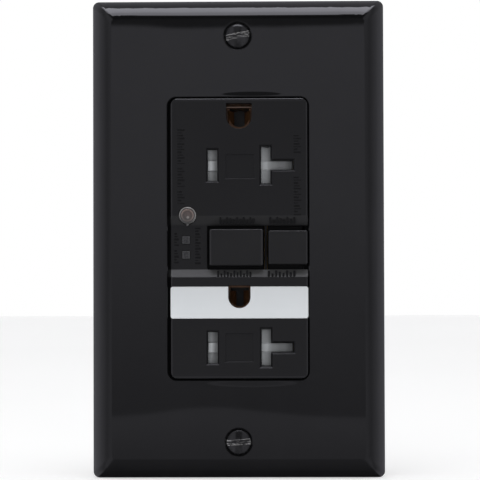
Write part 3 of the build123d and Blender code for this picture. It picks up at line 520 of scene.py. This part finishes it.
# ------------------------------------------------------------------ printed board
def board_green():
    """Solder mask over faint copper tracks."""
    m = Mat("board_green", edge=0.0001)
    x, _, z = m.xyz()
    bricks = m.new("ShaderNodeTexBrick", offset=0.37, squash=1.6, squash_frequency=3)
    plane = m.new("ShaderNodeCombineXYZ")
    m.feed(plane, {0: x, 1: z})
    m.feed(bricks, {
        "Scale": 420.0, "Mortar Size": 0.06, "Mortar Smooth": 0.25, "Bias": 0.0,
        "Brick Width": 1.3, "Row Height": 0.55, "Color1": (0, 0, 0, 1),
        "Color2": (0, 0, 0, 1), "Mortar": (1, 1, 1, 1), "Vector": plane.outputs[0]})
    patches = m.range(m.noise(140, detail=2), 0.42, 0.5)
    tracks = m.math("MULTIPLY", bricks.outputs["Fac"], patches, clamp=True)
    m.set(Base_Color=m.mix(tracks, (0.012, 0.085, 0.030), (0.035, 0.19, 0.065)))
    m.rough(0.24, 0.34, scale=1200)
    m.bump(tracks, depth=2e-5)
    return m.done()


# ------------------------------------------------------------------ one material for each slot
SLOTS = {
    "plate_plastic": gloss_black_plate(),
    "face_plastic": satin_black_face(),
    "pointer_plastic": moulded("clear_pointer_tip", (0.115, 0.115, 0.118), rough=(0.12, 0.2),
                               mottle=0.3, edge=0.00010),
    # painted shade: the marks are darker and less specular than the face they are moulded in
    "mark_plastic": moulded("black_marks_painted_shade", (0.0040, 0.0040, 0.0044), rough=(0.5, 0.6),
                            grain=1.6e-6, grain_scale=7000, mottle=0.2, edge=0.00006,
                            ior=1.36),
    "button_plastic": satin_black_buttons(),
    "shutter_plastic": grey_shutter(),
    "carrier_plastic": moulded("grey_carrier", (0.16, 0.165, 0.17), rough=(0.38, 0.5),
                               mottle=0.1),
    "rear_plastic": moulded("slate_rear_housing", (0.055, 0.058, 0.064), rough=(0.36, 0.5),
                            grain=3e-6, grain_scale=5200, mottle=0.15, scuff=0.12,
                            edge=0.0003),
    "white_plastic": moulded("white_nylon", (0.66, 0.65, 0.61), rough=(0.38, 0.5),
                             mottle=0.05),
    "nightlight_plastic": frosted_light_bar(),
    "clear_plastic": photocell_dome(),
    "pipe_plastic": smoky_light_pipe(),
    "black_metal_screw": black_oxide_worn(),
    "strap_steel": metal("galvanised_strap", (0.60, 0.61, 0.62), rough=(0.28, 0.46),
                         brush=0.05, tarnish=0.3),
    "zinc_steel": metal("zinc_steel", (0.56, 0.57, 0.59), rough=(0.25, 0.42),
                        brush=0.4, tarnish=0.25),
    "brass": metal("sheet_brass", (0.74, 0.53, 0.24), rough=(0.26, 0.4),
                   brush=0.1, tarnish=0.3),
    "brass_screw": metal("brass_screw", (0.72, 0.50, 0.22), rough=(0.24, 0.38),
                         brush=1, tarnish=0.32),
    "silver_screw": metal("nickel_screw", (0.64, 0.64, 0.62), rough=(0.22, 0.36),
                          brush=1, tarnish=0.22),
    "green_screw": metal("green_dyed_screw", (0.03, 0.26, 0.09), rough=(0.3, 0.44),
                         brush=1, tarnish=0.35),
    "copper_alloy": copper_contacts(),
    "tin_copper": metal("tinned_copper", (0.66, 0.63, 0.60), rough=(0.3, 0.45),
                        brush=0.3, tarnish=0.25),
    "spring_steel": metal("spring_steel", (0.48, 0.48, 0.50), rough=(0.2, 0.34),
                          brush=1, tarnish=0.2),
    "copper_wire": metal("enamelled_wire", (0.55, 0.20, 0.07), rough=(0.22, 0.34),
                         brush=1, tarnish=0.2),
    "can_aluminium": metal("aluminium_can", (0.70, 0.71, 0.72), rough=(0.3, 0.42),
                           brush=0.2, tarnish=0.12),
    "fibre": moulded("vulcan_fibre", (0.30, 0.155, 0.075), rough=(0.55, 0.7),
                     grain=3e-6, grain_scale=3000, mottle=0.25),
    "component_black": moulded("epoxy_black", (0.022, 0.022, 0.024), rough=(0.4, 0.55),
                               grain=3e-6, grain_scale=5000, mottle=0.2),
    "ceramic_blue": moulded("ceramic_blue", (0.045, 0.11, 0.42), rough=(0.22, 0.36),
                            mottle=0.18),
    "ferrite": moulded("ferrite_core", (0.045, 0.042, 0.040), rough=(0.5, 0.66),
                       grain=4e-6, grain_scale=4200, mottle=0.22),
    "led_yellow": moulded("led_yellow", (0.72, 0.58, 0.12), rough=(0.16, 0.26),
                          grain=1e-6, mottle=0.1),
    "board_green": board_green(),
}


def finish_with(obj, slot):
    obj.data.materials.clear()
    obj.data.materials.append(SLOTS[slot])


slot_of = {part["node"]: part["material_slot"] for part in frame["record"]["subparts"]}
for node_name, node_object in frame["nodes"].items():
    finish_with(node_object, slot_of[node_name])


# ------------------------------------------------------------------ mesh helpers, in mm
def loft(rings):
    """One closed skin through rings of equal length, ends filled."""
    count = len(rings[0])
    verts = [tuple(p) for ring in rings for p in ring]
    faces = []
    for i in range(len(rings) - 1):
        a, b = i * count, (i + 1) * count
        for j in range(count):
            k = (j + 1) % count
            faces.append((a + j, a + k, b + k, b + j))
    faces.append(tuple(reversed(range(count))))
    faces.append(tuple(range((len(rings) - 1) * count, len(rings) * count)))
    return verts, faces


def join(parts):
    verts, faces = [], []
    for part_verts, part_faces in parts:
        offset = len(verts)
        verts += part_verts
        faces += [tuple(i + offset for i in face) for face in part_faces]
    return verts, faces


def mesh_object(name, shape):
    """Linked object from (vertices, faces), normals turned outwards."""
    verts, faces = shape
    mesh = bpy.data.meshes.new(name)
    mesh.from_pydata([Vector(p) * MM for p in verts], [], faces)
    bm = bmesh.new()
    bm.from_mesh(mesh)
    bmesh.ops.remove_doubles(bm, verts=bm.verts, dist=1e-8)
    bmesh.ops.recalc_face_normals(bm, faces=bm.faces)
    bm.to_mesh(mesh)
    bm.free()
    obj = bpy.data.objects.new(name, mesh)
    bpy.context.scene.collection.objects.link(obj)
    return obj


def shade(obj, angle):
    """Smooth shading with the edges sharper than the angle, in degrees, kept crisp."""
    bm = bmesh.new()
    bm.from_mesh(obj.data)
    for face in bm.faces:
        face.smooth = True
    limit = math.radians(angle)
    for edge in bm.edges:
        edge.smooth = len(edge.link_faces) == 2 and edge.calc_face_angle(0.0) < limit
    bm.to_mesh(obj.data)
    bm.free()


def piece(name, shape, material, smooth):
    """New piece, finished with a slot's material and shaded smooth up to an angle in degrees."""
    obj = mesh_object(name, shape)
    finish_with(obj, material)
    shade(obj, smooth)
    return obj


def cut(obj, shape):
    """Takes a closed shape out of a piece."""
    cutter = mesh_object("cutter", shape)
    modifier = obj.modifiers.new("cut", "BOOLEAN")
    modifier.operation = "DIFFERENCE"
    modifier.solver = "EXACT"
    modifier.object = cutter
    bpy.context.view_layer.update()
    depsgraph = bpy.context.evaluated_depsgraph_get()
    new = bpy.data.meshes.new_from_object(obj.evaluated_get(depsgraph))
    obj.modifiers.clear()
    old = obj.data
    obj.data = new
    bpy.data.objects.remove(cutter)
    bpy.data.meshes.remove(old)


def polar(axis, along, radius, angle, centre):
    """Point at a distance along an axis and an angle round it."""
    u = radius * math.cos(angle)
    w = radius * math.sin(angle)
    offset = {"x": (along, u, w), "y": (u, along, w), "z": (u, w, along)}[axis]
    return tuple(c + o for c, o in zip(centre, offset))


# ------------------------------------------------------------------ spring coils
COIL_STEPS = 28  # per turn
WIRE_POINTS = 10  # round the wire
CLOSED_TURNS = 0.9  # at each end


def coil(axis, start, end, mean_r, wire_r, turns, centre):
    """Round-wire compression spring with closed end turns."""
    steps = int(turns * COIL_STEPS)
    low, high = start + wire_r, end - wire_r
    closed_rise = wire_r * 2.02 * CLOSED_TURNS
    live_rise = (high - low) - 2 * closed_rise
    points = []
    for i in range(steps + 1):
        t = turns * i / steps
        if t < CLOSED_TURNS:
            along = low + closed_rise * t / CLOSED_TURNS
        elif t > turns - CLOSED_TURNS:
            along = high - closed_rise * (turns - t) / CLOSED_TURNS
        else:
            live = (t - CLOSED_TURNS) / (turns - 2 * CLOSED_TURNS)
            along = low + closed_rise + live_rise * live
        points.append(Vector(polar(axis, along, mean_r, 2 * math.pi * t, centre)))
    direction = Vector(polar(axis, 1, 0, 0, (0, 0, 0)))
    rings = []
    for i, p in enumerate(points):
        tangent = (points[min(i + 1, steps)] - points[max(i - 1, 0)]).normalized()
        arm = p - Vector(centre)
        out = (arm - direction * arm.dot(direction)).normalized()
        up = tangent.cross(out).normalized()
        angles = [2 * math.pi * k / WIRE_POINTS for k in range(WIRE_POINTS)]
        rings.append([p + out * wire_r * math.cos(a) + up * wire_r * math.sin(a)
                      for a in angles])
    return loft(rings)


def spring(name, node, *coil_sizes):
    obj = piece(name, coil(*coil_sizes), "spring_steel", smooth=60)
    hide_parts(node)
    return obj


def squashed(obj):
    """Rides the housing, on a mesh of its own."""
    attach(obj, "housing")
    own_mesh(obj)


SHUTTER_SPRING_X = (-2.95, 0.95)
SHUTTER_SPRING_Y = -3.1
RESET_SPRING_Y = (-2.35, 3.55)
RESET_Z = -1.0
PLUNGER_SPRING_Z = (24.95, 28.35)
SOLENOID_AXIS = (0, 20.7, 0)  # upright, behind the face

for level, spring_z in (("upper", UPPER_SHUTTER_Z), ("lower", LOWER_SHUTTER_Z)):
    shutter_coil = spring(f"{level}_shutter_coil", f"{level}_shutter_spring", "x",
                          *SHUTTER_SPRING_X, 0.80, 0.15, 5, (0, SHUTTER_SPRING_Y, spring_z))
    squashed(shutter_coil)

reset_front, reset_back = RESET_SPRING_Y
reset_coil = spring("reset_coil", "reset_spring", "y", reset_front, reset_back,
                    2.50, 0.30, 5.5, (0, 0, RESET_Z))
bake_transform(reset_coil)

plunger_coil = spring("plunger_coil", "plunger_spring", "z", *PLUNGER_SPRING_Z,
                      2.62, 0.30, 3, SOLENOID_AXIS)
squashed(plunger_coil)


# ------------------------------------------------------------------ screws with real threads
SCREW_SEGMENTS = 28
SHANK_R = 1.73
THREAD_DEPTH = 0.34
THREAD_PITCH = 25.4 / 32  # 32 threads to the inch
RINGS_PER_PITCH = 6


def threaded(start, end, centre):
    """Rings of a threaded shank along Y: both ends fade out, the far end tapers."""
    length = end - start
    count = int(length / THREAD_PITCH * RINGS_PER_PITCH)
    rings = []
    for i in range(count + 1):
        s = length * i / count
        fade = min(1.0, s / 0.6) * min(1.0, (length - s) / 0.5)
        ring = []
        for j in range(SCREW_SEGMENTS):
            phase = (s / THREAD_PITCH - j / SCREW_SEGMENTS) % 1.0
            ridge = min(1.0, (1 - abs(2 * phase - 1)) * 1.35)
            radius = SHANK_R - THREAD_DEPTH * (1 - ridge * fade)
            if length - s < 0.9:
                radius -= (0.9 - (length - s)) * 0.55
            angle = 2 * math.pi * j / SCREW_SEGMENTS
            ring.append(polar("y", start + s, radius, angle, centre))
        rings.append(ring)
    return rings


def dome(y_top, rise, edge_r, steps):
    """Stations (y, radius) of a shallow spherical cap."""
    big = (edge_r ** 2 + rise ** 2) / (2 * rise)
    radii = [edge_r * i / steps for i in range(steps + 1)]
    return [(y_top + big - math.sqrt(big ** 2 - r ** 2), r) for r in radii]


def slot_block(x, z, half_length, half_width, y_back, tilt):
    """Block that cuts a driver slot from the front, turned about the screw's axis."""
    c, s = math.cos(tilt), math.sin(tilt)
    corners = ((-half_length, -half_width), (half_length, -half_width),
               (half_length, half_width), (-half_length, half_width))
    verts = [(x + dx * c - dz * s, y, z + dx * s + dz * c)
             for y in (-8.0, y_back) for dx, dz in corners]
    faces = [(0, 1, 2, 3), (7, 6, 5, 4), (0, 4, 5, 1), (1, 5, 6, 2), (2, 6, 7, 3), (3, 7, 4, 0)]
    return verts, faces


def slotted_screw(name, material, x, z, head, shank, block):
    """Screw from head stations (y, radius) and the shank's ends in y."""
    centre = (x, 0, z)
    angles = [2 * math.pi * j / SCREW_SEGMENTS for j in range(SCREW_SEGMENTS)]
    rings = [[polar("y", y, max(radius, 0.02), a, centre) for a in angles]
             for y, radius in head]
    obj = piece(name, loft(rings + threaded(*shank, centre)), material, smooth=50)
    cut(obj, block)
    shade(obj, 35)
    finish_with(obj, material)
    return obj


def mark_wear(obj, z, tilt):
    """Face attribute the worn-screw material reads: 1 inside the driver slot."""
    wear = obj.data.attributes.new("wear", "FLOAT", "FACE")
    for face in obj.data.polygons:
        c = face.center / MM
        across = -(c.x - PLATE_SCREW_X) * math.sin(tilt) + (c.z - z) * math.cos(tilt)
        wear.data[face.index].value = 1.0 if abs(across) < 0.66 and c.y < -5.0 else 0.0


def plate_screw(name, z, tilt):
    block = slot_block(PLATE_SCREW_X, z, 3.7, 0.65, y_back=-5.3, tilt=tilt)
    obj = slotted_screw(name, "black_metal_screw", PLATE_SCREW_X, z, PLATE_HEAD,
                        (-3.5, 7.05), block)
    mark_wear(obj, z, tilt)
    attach(obj, "housing")
    return obj


def box_screw(name, z):
    block = slot_block(0, z, 4.2, 0.55, y_back=-2.4, tilt=0)
    obj = slotted_screw(name, "zinc_steel", 0, z, BOX_HEAD, (1.25, 21.95), block)
    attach(obj, "housing")
    return obj


# Stations (y, radius) from the top of the head back to the shank
PLATE_HEAD = dome(-6.2, 1.02, 2.93, steps=14) + [
    (-5.12, 2.96), (-5.05, 2.97), (-4.95, 2.9), (-3.72, 1.79), (-3.62, SHANK_R),
]
BOX_HEAD = dome(-3.25, 0.55, 2.9, steps=9) + [
    (-2.62, 3.15), (-2.45, 3.3), (-2.2, 3.38), (-1.95, 3.4), (-1.6, 3.38), (-1.53, 3.3),
    (-1.52, 1.5), (-1.51, 1.5), (1.2, 1.5),
]
BOX_SCREW_Z = 41.67

top_screw = plate_screw("plate_screw_top", PLATE_SCREW_Z, math.radians(11.0))
bottom_screw = plate_screw("plate_screw_bottom", -PLATE_SCREW_Z, math.radians(4.5))
for screw in (bottom_screw, top_screw):
    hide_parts("wall_plate_screws")

box_screws = [box_screw("box_screw_top", BOX_SCREW_Z),
              box_screw("box_screw_bottom", -BOX_SCREW_Z)]
for screw in box_screws:
    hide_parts("device_mounting_screws")


# ------------------------------------------------------------------ solenoid winding
def winding_outline(z0, z1, inner_r, outer_r, turns, steps):
    """Closed (z, radius) outline whose outer side shows a layer of round turns."""
    outline = [(z0, inner_r), (z0, outer_r - 0.12)]
    pitch = (z1 - z0) / turns
    for t in range(turns):
        for k in range(steps + 1):
            angle = math.pi * k / steps
            outline.append((z0 + pitch * (t + 0.5 - 0.49 * math.cos(angle)),
                            outer_r - 0.16 + 0.16 * math.sin(angle)))
    return outline + [(z1, outer_r - 0.12), (z1, inner_r)]


def revolved_ring(outline, segments, centre):
    """Ring about an upright axis from a closed (z, radius) outline."""
    count = len(outline)
    verts = [polar("z", z, radius, 2 * math.pi * j / segments, centre)
             for j in range(segments) for z, radius in outline]
    faces = []
    for j in range(segments):
        a, b = j * count, ((j + 1) % segments) * count
        for i in range(count):
            k = (i + 1) % count
            faces.append((a + i, b + i, b + k, a + k))
    return verts, faces


turns_outline = winding_outline(11.1, 23.1, inner_r=3.14, outer_r=4.8, turns=30, steps=6)
winding = piece("solenoid_turns", revolved_ring(turns_outline, 56, SOLENOID_AXIS),
                "copper_wire", smooth=50)
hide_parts("solenoid_winding")
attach(winding, "housing")


# ------------------------------------------------------------------ raised marks: plain bars
FACE_Y = -6.2
VALLEY_Y = -5.0
# Slopes into the valley the buttons sit in: z and y at the lower end, then at the upper
SLOPES = ((-9.3, FACE_Y, -7.35, VALLEY_Y), (3.0, VALLEY_Y, 5.4, FACE_Y))

MARK_RISE = 0.06
MARK_SINK = 0.06
MARK_CORNER = 0.14
# Lengths of successive bars, as shares of the full length
BAR_SHARES = (1.0, 0.55, 1.0, 0.8, 0.62, 1.0, 0.7)
# Rows of upright bars over the slopes: x from, to, z from, to, count, gap, y of the tops' base
MARK_ROWS = (
    (-4.6926, 3.64716, 3.40956, 5.02524, 11, 0.34, -6.0),
    (7.16364, 13.34124, 3.40956, 5.02524, 8, 0.34, -6.0),
    (-5.23908, 2.83932, -9.15948, -7.6626, 11, 0.36, -6.12),
    (6.75972, 13.34124, -9.15948, -7.6626, 8, 0.36, -6.12),
)
# Columns of bars lying across: x from, to, z from, to, count, gap
MARK_COLUMNS = (
    (12.98484, 14.76684, 20.2554, 24.651, 7, 0.32),
    (12.98484, 14.76684, 5.4054, 14.6718, 14, 0.32),
    (-14.69556, -12.96108, 17.7606, 26.0766, 13, 0.32),
    (-14.69556, -12.96108, 12.2958, 16.8102, 7, 0.32),
    (-14.69556, -12.96108, 8.2566, 11.3454, 5, 0.32),
    (-15.52716, -14.4342, -1.7226, 1.3662, 5, 0.3),
    (-15.52716, -14.4342, -5.8806, -2.673, 5, 0.3),
    (-10.53756, -9.207, -6.14196, 2.5542, 13, 0.3),
)


def surface_y(z):
    """Depth of the face, its slopes or its valley at a height."""
    for z0, y0, z1, y1 in SLOPES:
        if z0 <= z <= z1:
            return y0 + (y1 - y0) * (z - z0) / (z1 - z0)
    return VALLEY_Y if -7.35 < z < 3.0 else FACE_Y


def mark(x0, x1, z0, z1, level=None):
    """Low pillow with cut corners following the face, or with its top at a set level."""
    corner = min(MARK_CORNER, (x1 - x0) * 0.3, (z1 - z0) * 0.3) * 0.7

    def outline(inset, dy):
        a, b, c, d = x0 + inset, x1 - inset, z0 + inset, z1 - inset
        points = [(a + corner, c), (b - corner, c), (b, c + corner), (b, d - corner),
                  (b - corner, d), (a + corner, d), (a, d - corner), (a, c + corner)]
        on_face = level is None or dy > 0
        return [(x, (surface_y(z) if on_face else level) + dy, z) for x, z in points]

    sink = MARK_SINK + (0 if level is None else 0.45)
    return loft([outline(0.0, sink), outline(0.0, -MARK_RISE * 0.45),
                 outline(MARK_RISE * 0.7, -MARK_RISE)])


def bar_share(i):
    return BAR_SHARES[i % len(BAR_SHARES)]


def marks_row(x0, x1, z0, z1, count, gap, level):
    bars = []
    width = (x1 - x0 - gap * (count - 1)) / count
    for i in range(count):
        x = x0 + i * (width + gap)
        bars.append(mark(x, x + width, z0, z0 + (z1 - z0) * bar_share(i), level))
    return bars


def marks_column(x0, x1, z0, z1, count, gap):
    """Bars of uneven height stacked up the face."""
    bars = []
    heights = [1.0 + 0.35 * math.sin(2.4 * i + x0) for i in range(count)]
    unit = (z1 - z0 - gap * (count - 1)) / sum(heights)
    z = z0
    for i, height in enumerate(heights):
        bars.append(mark(x0, x0 + (x1 - x0) * bar_share(i), z, z + unit * height))
        z += unit * height + gap
    return bars


def photocell_pointer():
    """Wedge below the photocell, pointing down."""
    # y, half-width of the upper edge, lift of the tip
    stations = ((-4.6, 0.80, 0.0), (-5.65, 0.80, 0.0), (-5.9, 0.66, 0.16))
    x = PHOTOCELL_X
    shape = loft([[(x - half, y, 3.86), (x + half, y, 3.86),
                   (x + 0.1, y, 2.98 + lift), (x - 0.1, y, 2.98 + lift)]
                  for y, half, lift in stations])
    obj = piece("photocell_pointer", shape, "pointer_plastic", smooth=30)
    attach(obj, "housing")


def face_marks():
    bars = []
    for row in MARK_ROWS:
        bars += marks_row(*row)
    for column in MARK_COLUMNS:
        bars += marks_column(*column)
    obj = piece("face_marks", join(bars), "mark_plastic", smooth=30)
    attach(obj, "housing")


photocell_pointer()
face_marks()


# ------------------------------------------------------------------ surroundings
# What reflections see. Angles are in degrees from straight ahead of the front, (angle, strength)
BELOW = [
    (-180, 0.025), (-132, 0.019), (-100, 0.062), (-75, 0.162), (-55, 0.237), (-44, 0.30),
    (-20, 0.375), (-10, 0.395), (-5, 0.395), (-3, 0.42),
]
AHEAD = [
    (-3.6, 0.23), (-2.9, 0.25), (-2.0, 0.29), (-0.85, 0.335), (0.76, 0.41), (2.4, 0.475),
    (4.8, 0.515), (6.0, 0.545), (8, 0.57),
]
ABOVE = [
    (6, 0.085), (12, 0.06), (30, 0.02), (64.0, 0.02), (66, 2.9), (74, 3.1), (79, 3.9),
    (95.5, 4.0), (97, 0.36), (140, 0.42), (180, 0.2),
]
SIDEWAYS = [
    (0, 0.45), (20, 0.45), (47, 0.46), (53, 0.44), (58, 0.38), (62, 0.33), (66, 0.335),
    (71, 0.375), (77, 0.45), (85, 0.51), (92, 0.555), (100, 0.62), (109, 0.57), (135, 0.50),
    (180, 0.40),
]
# What diffuse light sees, by the same upward angle
SOFT = [
    (-180, 0.39), (-90, 0.29), (-20, 0.39), (20, 0.52), (90, 0.68), (130, 0.58), (180, 0.39),
]


def build_world():
    world = bpy.data.worlds.new("studio")
    bpy.context.scene.world = world
    world.use_nodes = True
    g = Graph(world.node_tree)
    x, y, z = g.split(g.new("ShaderNodeTexCoord").outputs["Generated"])
    front = g.multiply(y, -1.0)
    degrees = 180 / math.pi
    up = g.multiply(g.math("ARCTAN2", z, front), degrees)
    side = g.multiply(g.math("ARCTAN2", g.absolute(x), front), degrees)

    def switch(at, below, above):
        """Sharp change at an upward angle."""
        return g.mix_value(g.range(up, at - 0.05, at + 0.05), below, above)

    low = g.multiply(g.curve(up, BELOW), g.range(up, -4.45, -3.75, 0.8, 1.0))
    middle = g.curve(up, AHEAD)
    high = g.curve(up, ABOVE, scale=5.0)
    tall = switch(7.05, switch(-3.5, low, middle), high)
    # slightly dimmer to the right
    wide = g.multiply(g.curve(side, SIDEWAYS), g.range(x, -0.1, 0.4, 1.0, 0.88))
    sideways = g.range(g.absolute(x), 0.22, 0.45, kind="SMOOTHSTEP")
    glossy = g.mix_value(sideways, tall, wide)

    path = g.new("ShaderNodeLightPath").outputs
    mirror = g.maximum(path["Is Glossy Ray"], path["Is Transmission Ray"])
    strength = g.mix_value(mirror, g.curve(up, SOFT, scale=2.0), glossy)
    strength = g.mix_value(path["Is Camera Ray"], strength, 1.0)
    tint = g.mix(mirror, (1, 1, 1), (0.99, 0.985, 1.09))
    background = g.new("ShaderNodeBackground")
    g.feed(background, {0: tint, 1: strength})
    g.feed(g.new("ShaderNodeOutputWorld"), {0: background.outputs[0]})


def build_floor(half_size=3):
    """Pale self-lit floor at the foot of the outlet, left out of reflections."""
    z = cad_lo[2]
    h = half_size
    mesh = bpy.data.meshes.new("floor")
    mesh.from_pydata([(-h, -h, z), (h, -h, z), (h, h, z), (-h, h, z)], [], [(0, 1, 2, 3)])
    obj = bpy.data.objects.new("floor", mesh)
    bpy.context.scene.collection.objects.link(obj)
    m = Mat("pale_floor")
    m.set(Base_Color=m.two_tone(m.noise(3.0), (0.80, 0.80, 0.80), (0.84, 0.84, 0.84)))
    m.rough(0.7, 0.8, scale=20)
    m.set(Emission_Color=(1, 1, 1, 1), Emission_Strength=0.42)
    mesh.materials.append(m.done())
    obj.visible_glossy = False


def lamp(name, location, size, power):
    """Area lamp aimed at the origin, unseen by the camera and in reflections."""
    light = bpy.data.lights.new(name, "AREA")
    light.shape = "RECTANGLE"
    light.size, light.size_y = size
    light.energy = power
    obj = bpy.data.objects.new(name, light)
    obj.location = location
    aim = Vector((0, 0, 0)) - Vector(location)
    obj.rotation_euler = aim.to_track_quat("-Z", "Y").to_euler()
    obj.visible_glossy = False
    obj.visible_camera = False
    bpy.context.scene.collection.objects.link(obj)


def build_camera(place, yaw, pitch, roll, lens):
    """Camera looking along +Y, turned by small angles in radians."""
    forward = Vector((math.sin(yaw) * math.cos(pitch), math.cos(yaw) * math.cos(pitch),
                      math.sin(pitch)))
    level_right = Vector((math.cos(yaw), -math.sin(yaw), 0.0))
    level_up = level_right.cross(forward)
    right = level_right * math.cos(roll) + level_up * math.sin(roll)
    up = level_up * math.cos(roll) - level_right * math.sin(roll)
    data = bpy.data.cameras.new("camera")
    data.sensor_width = 36.0
    data.lens = lens
    data.clip_start = 0.01
    data.clip_end = 50.0
    camera = bpy.data.objects.new("camera", data)
    rows = [(right[i], up[i], -forward[i], place[i]) for i in range(3)]
    camera.matrix_world = Matrix((*rows, (0, 0, 0, 1)))
    bpy.context.scene.collection.objects.link(camera)
    bpy.context.scene.camera = camera


build_world()
build_floor()
lamp("soft_top", (0.0, -0.25, 0.62), size=(0.7, 0.5), power=0.8)
lamp("soft_front", (-0.25, -0.85, 0.35), size=(0.7, 0.7), power=1.0)
build_camera(place=(0.009346, -0.51206, -0.011908), yaw=-0.018112, pitch=0.022735,
             roll=-0.002897, lens=159.65)

view = bpy.context.scene.view_settings
view.view_transform = "Standard"
view.look = "None"
view.exposure = 0.0
view.gamma = 1.0
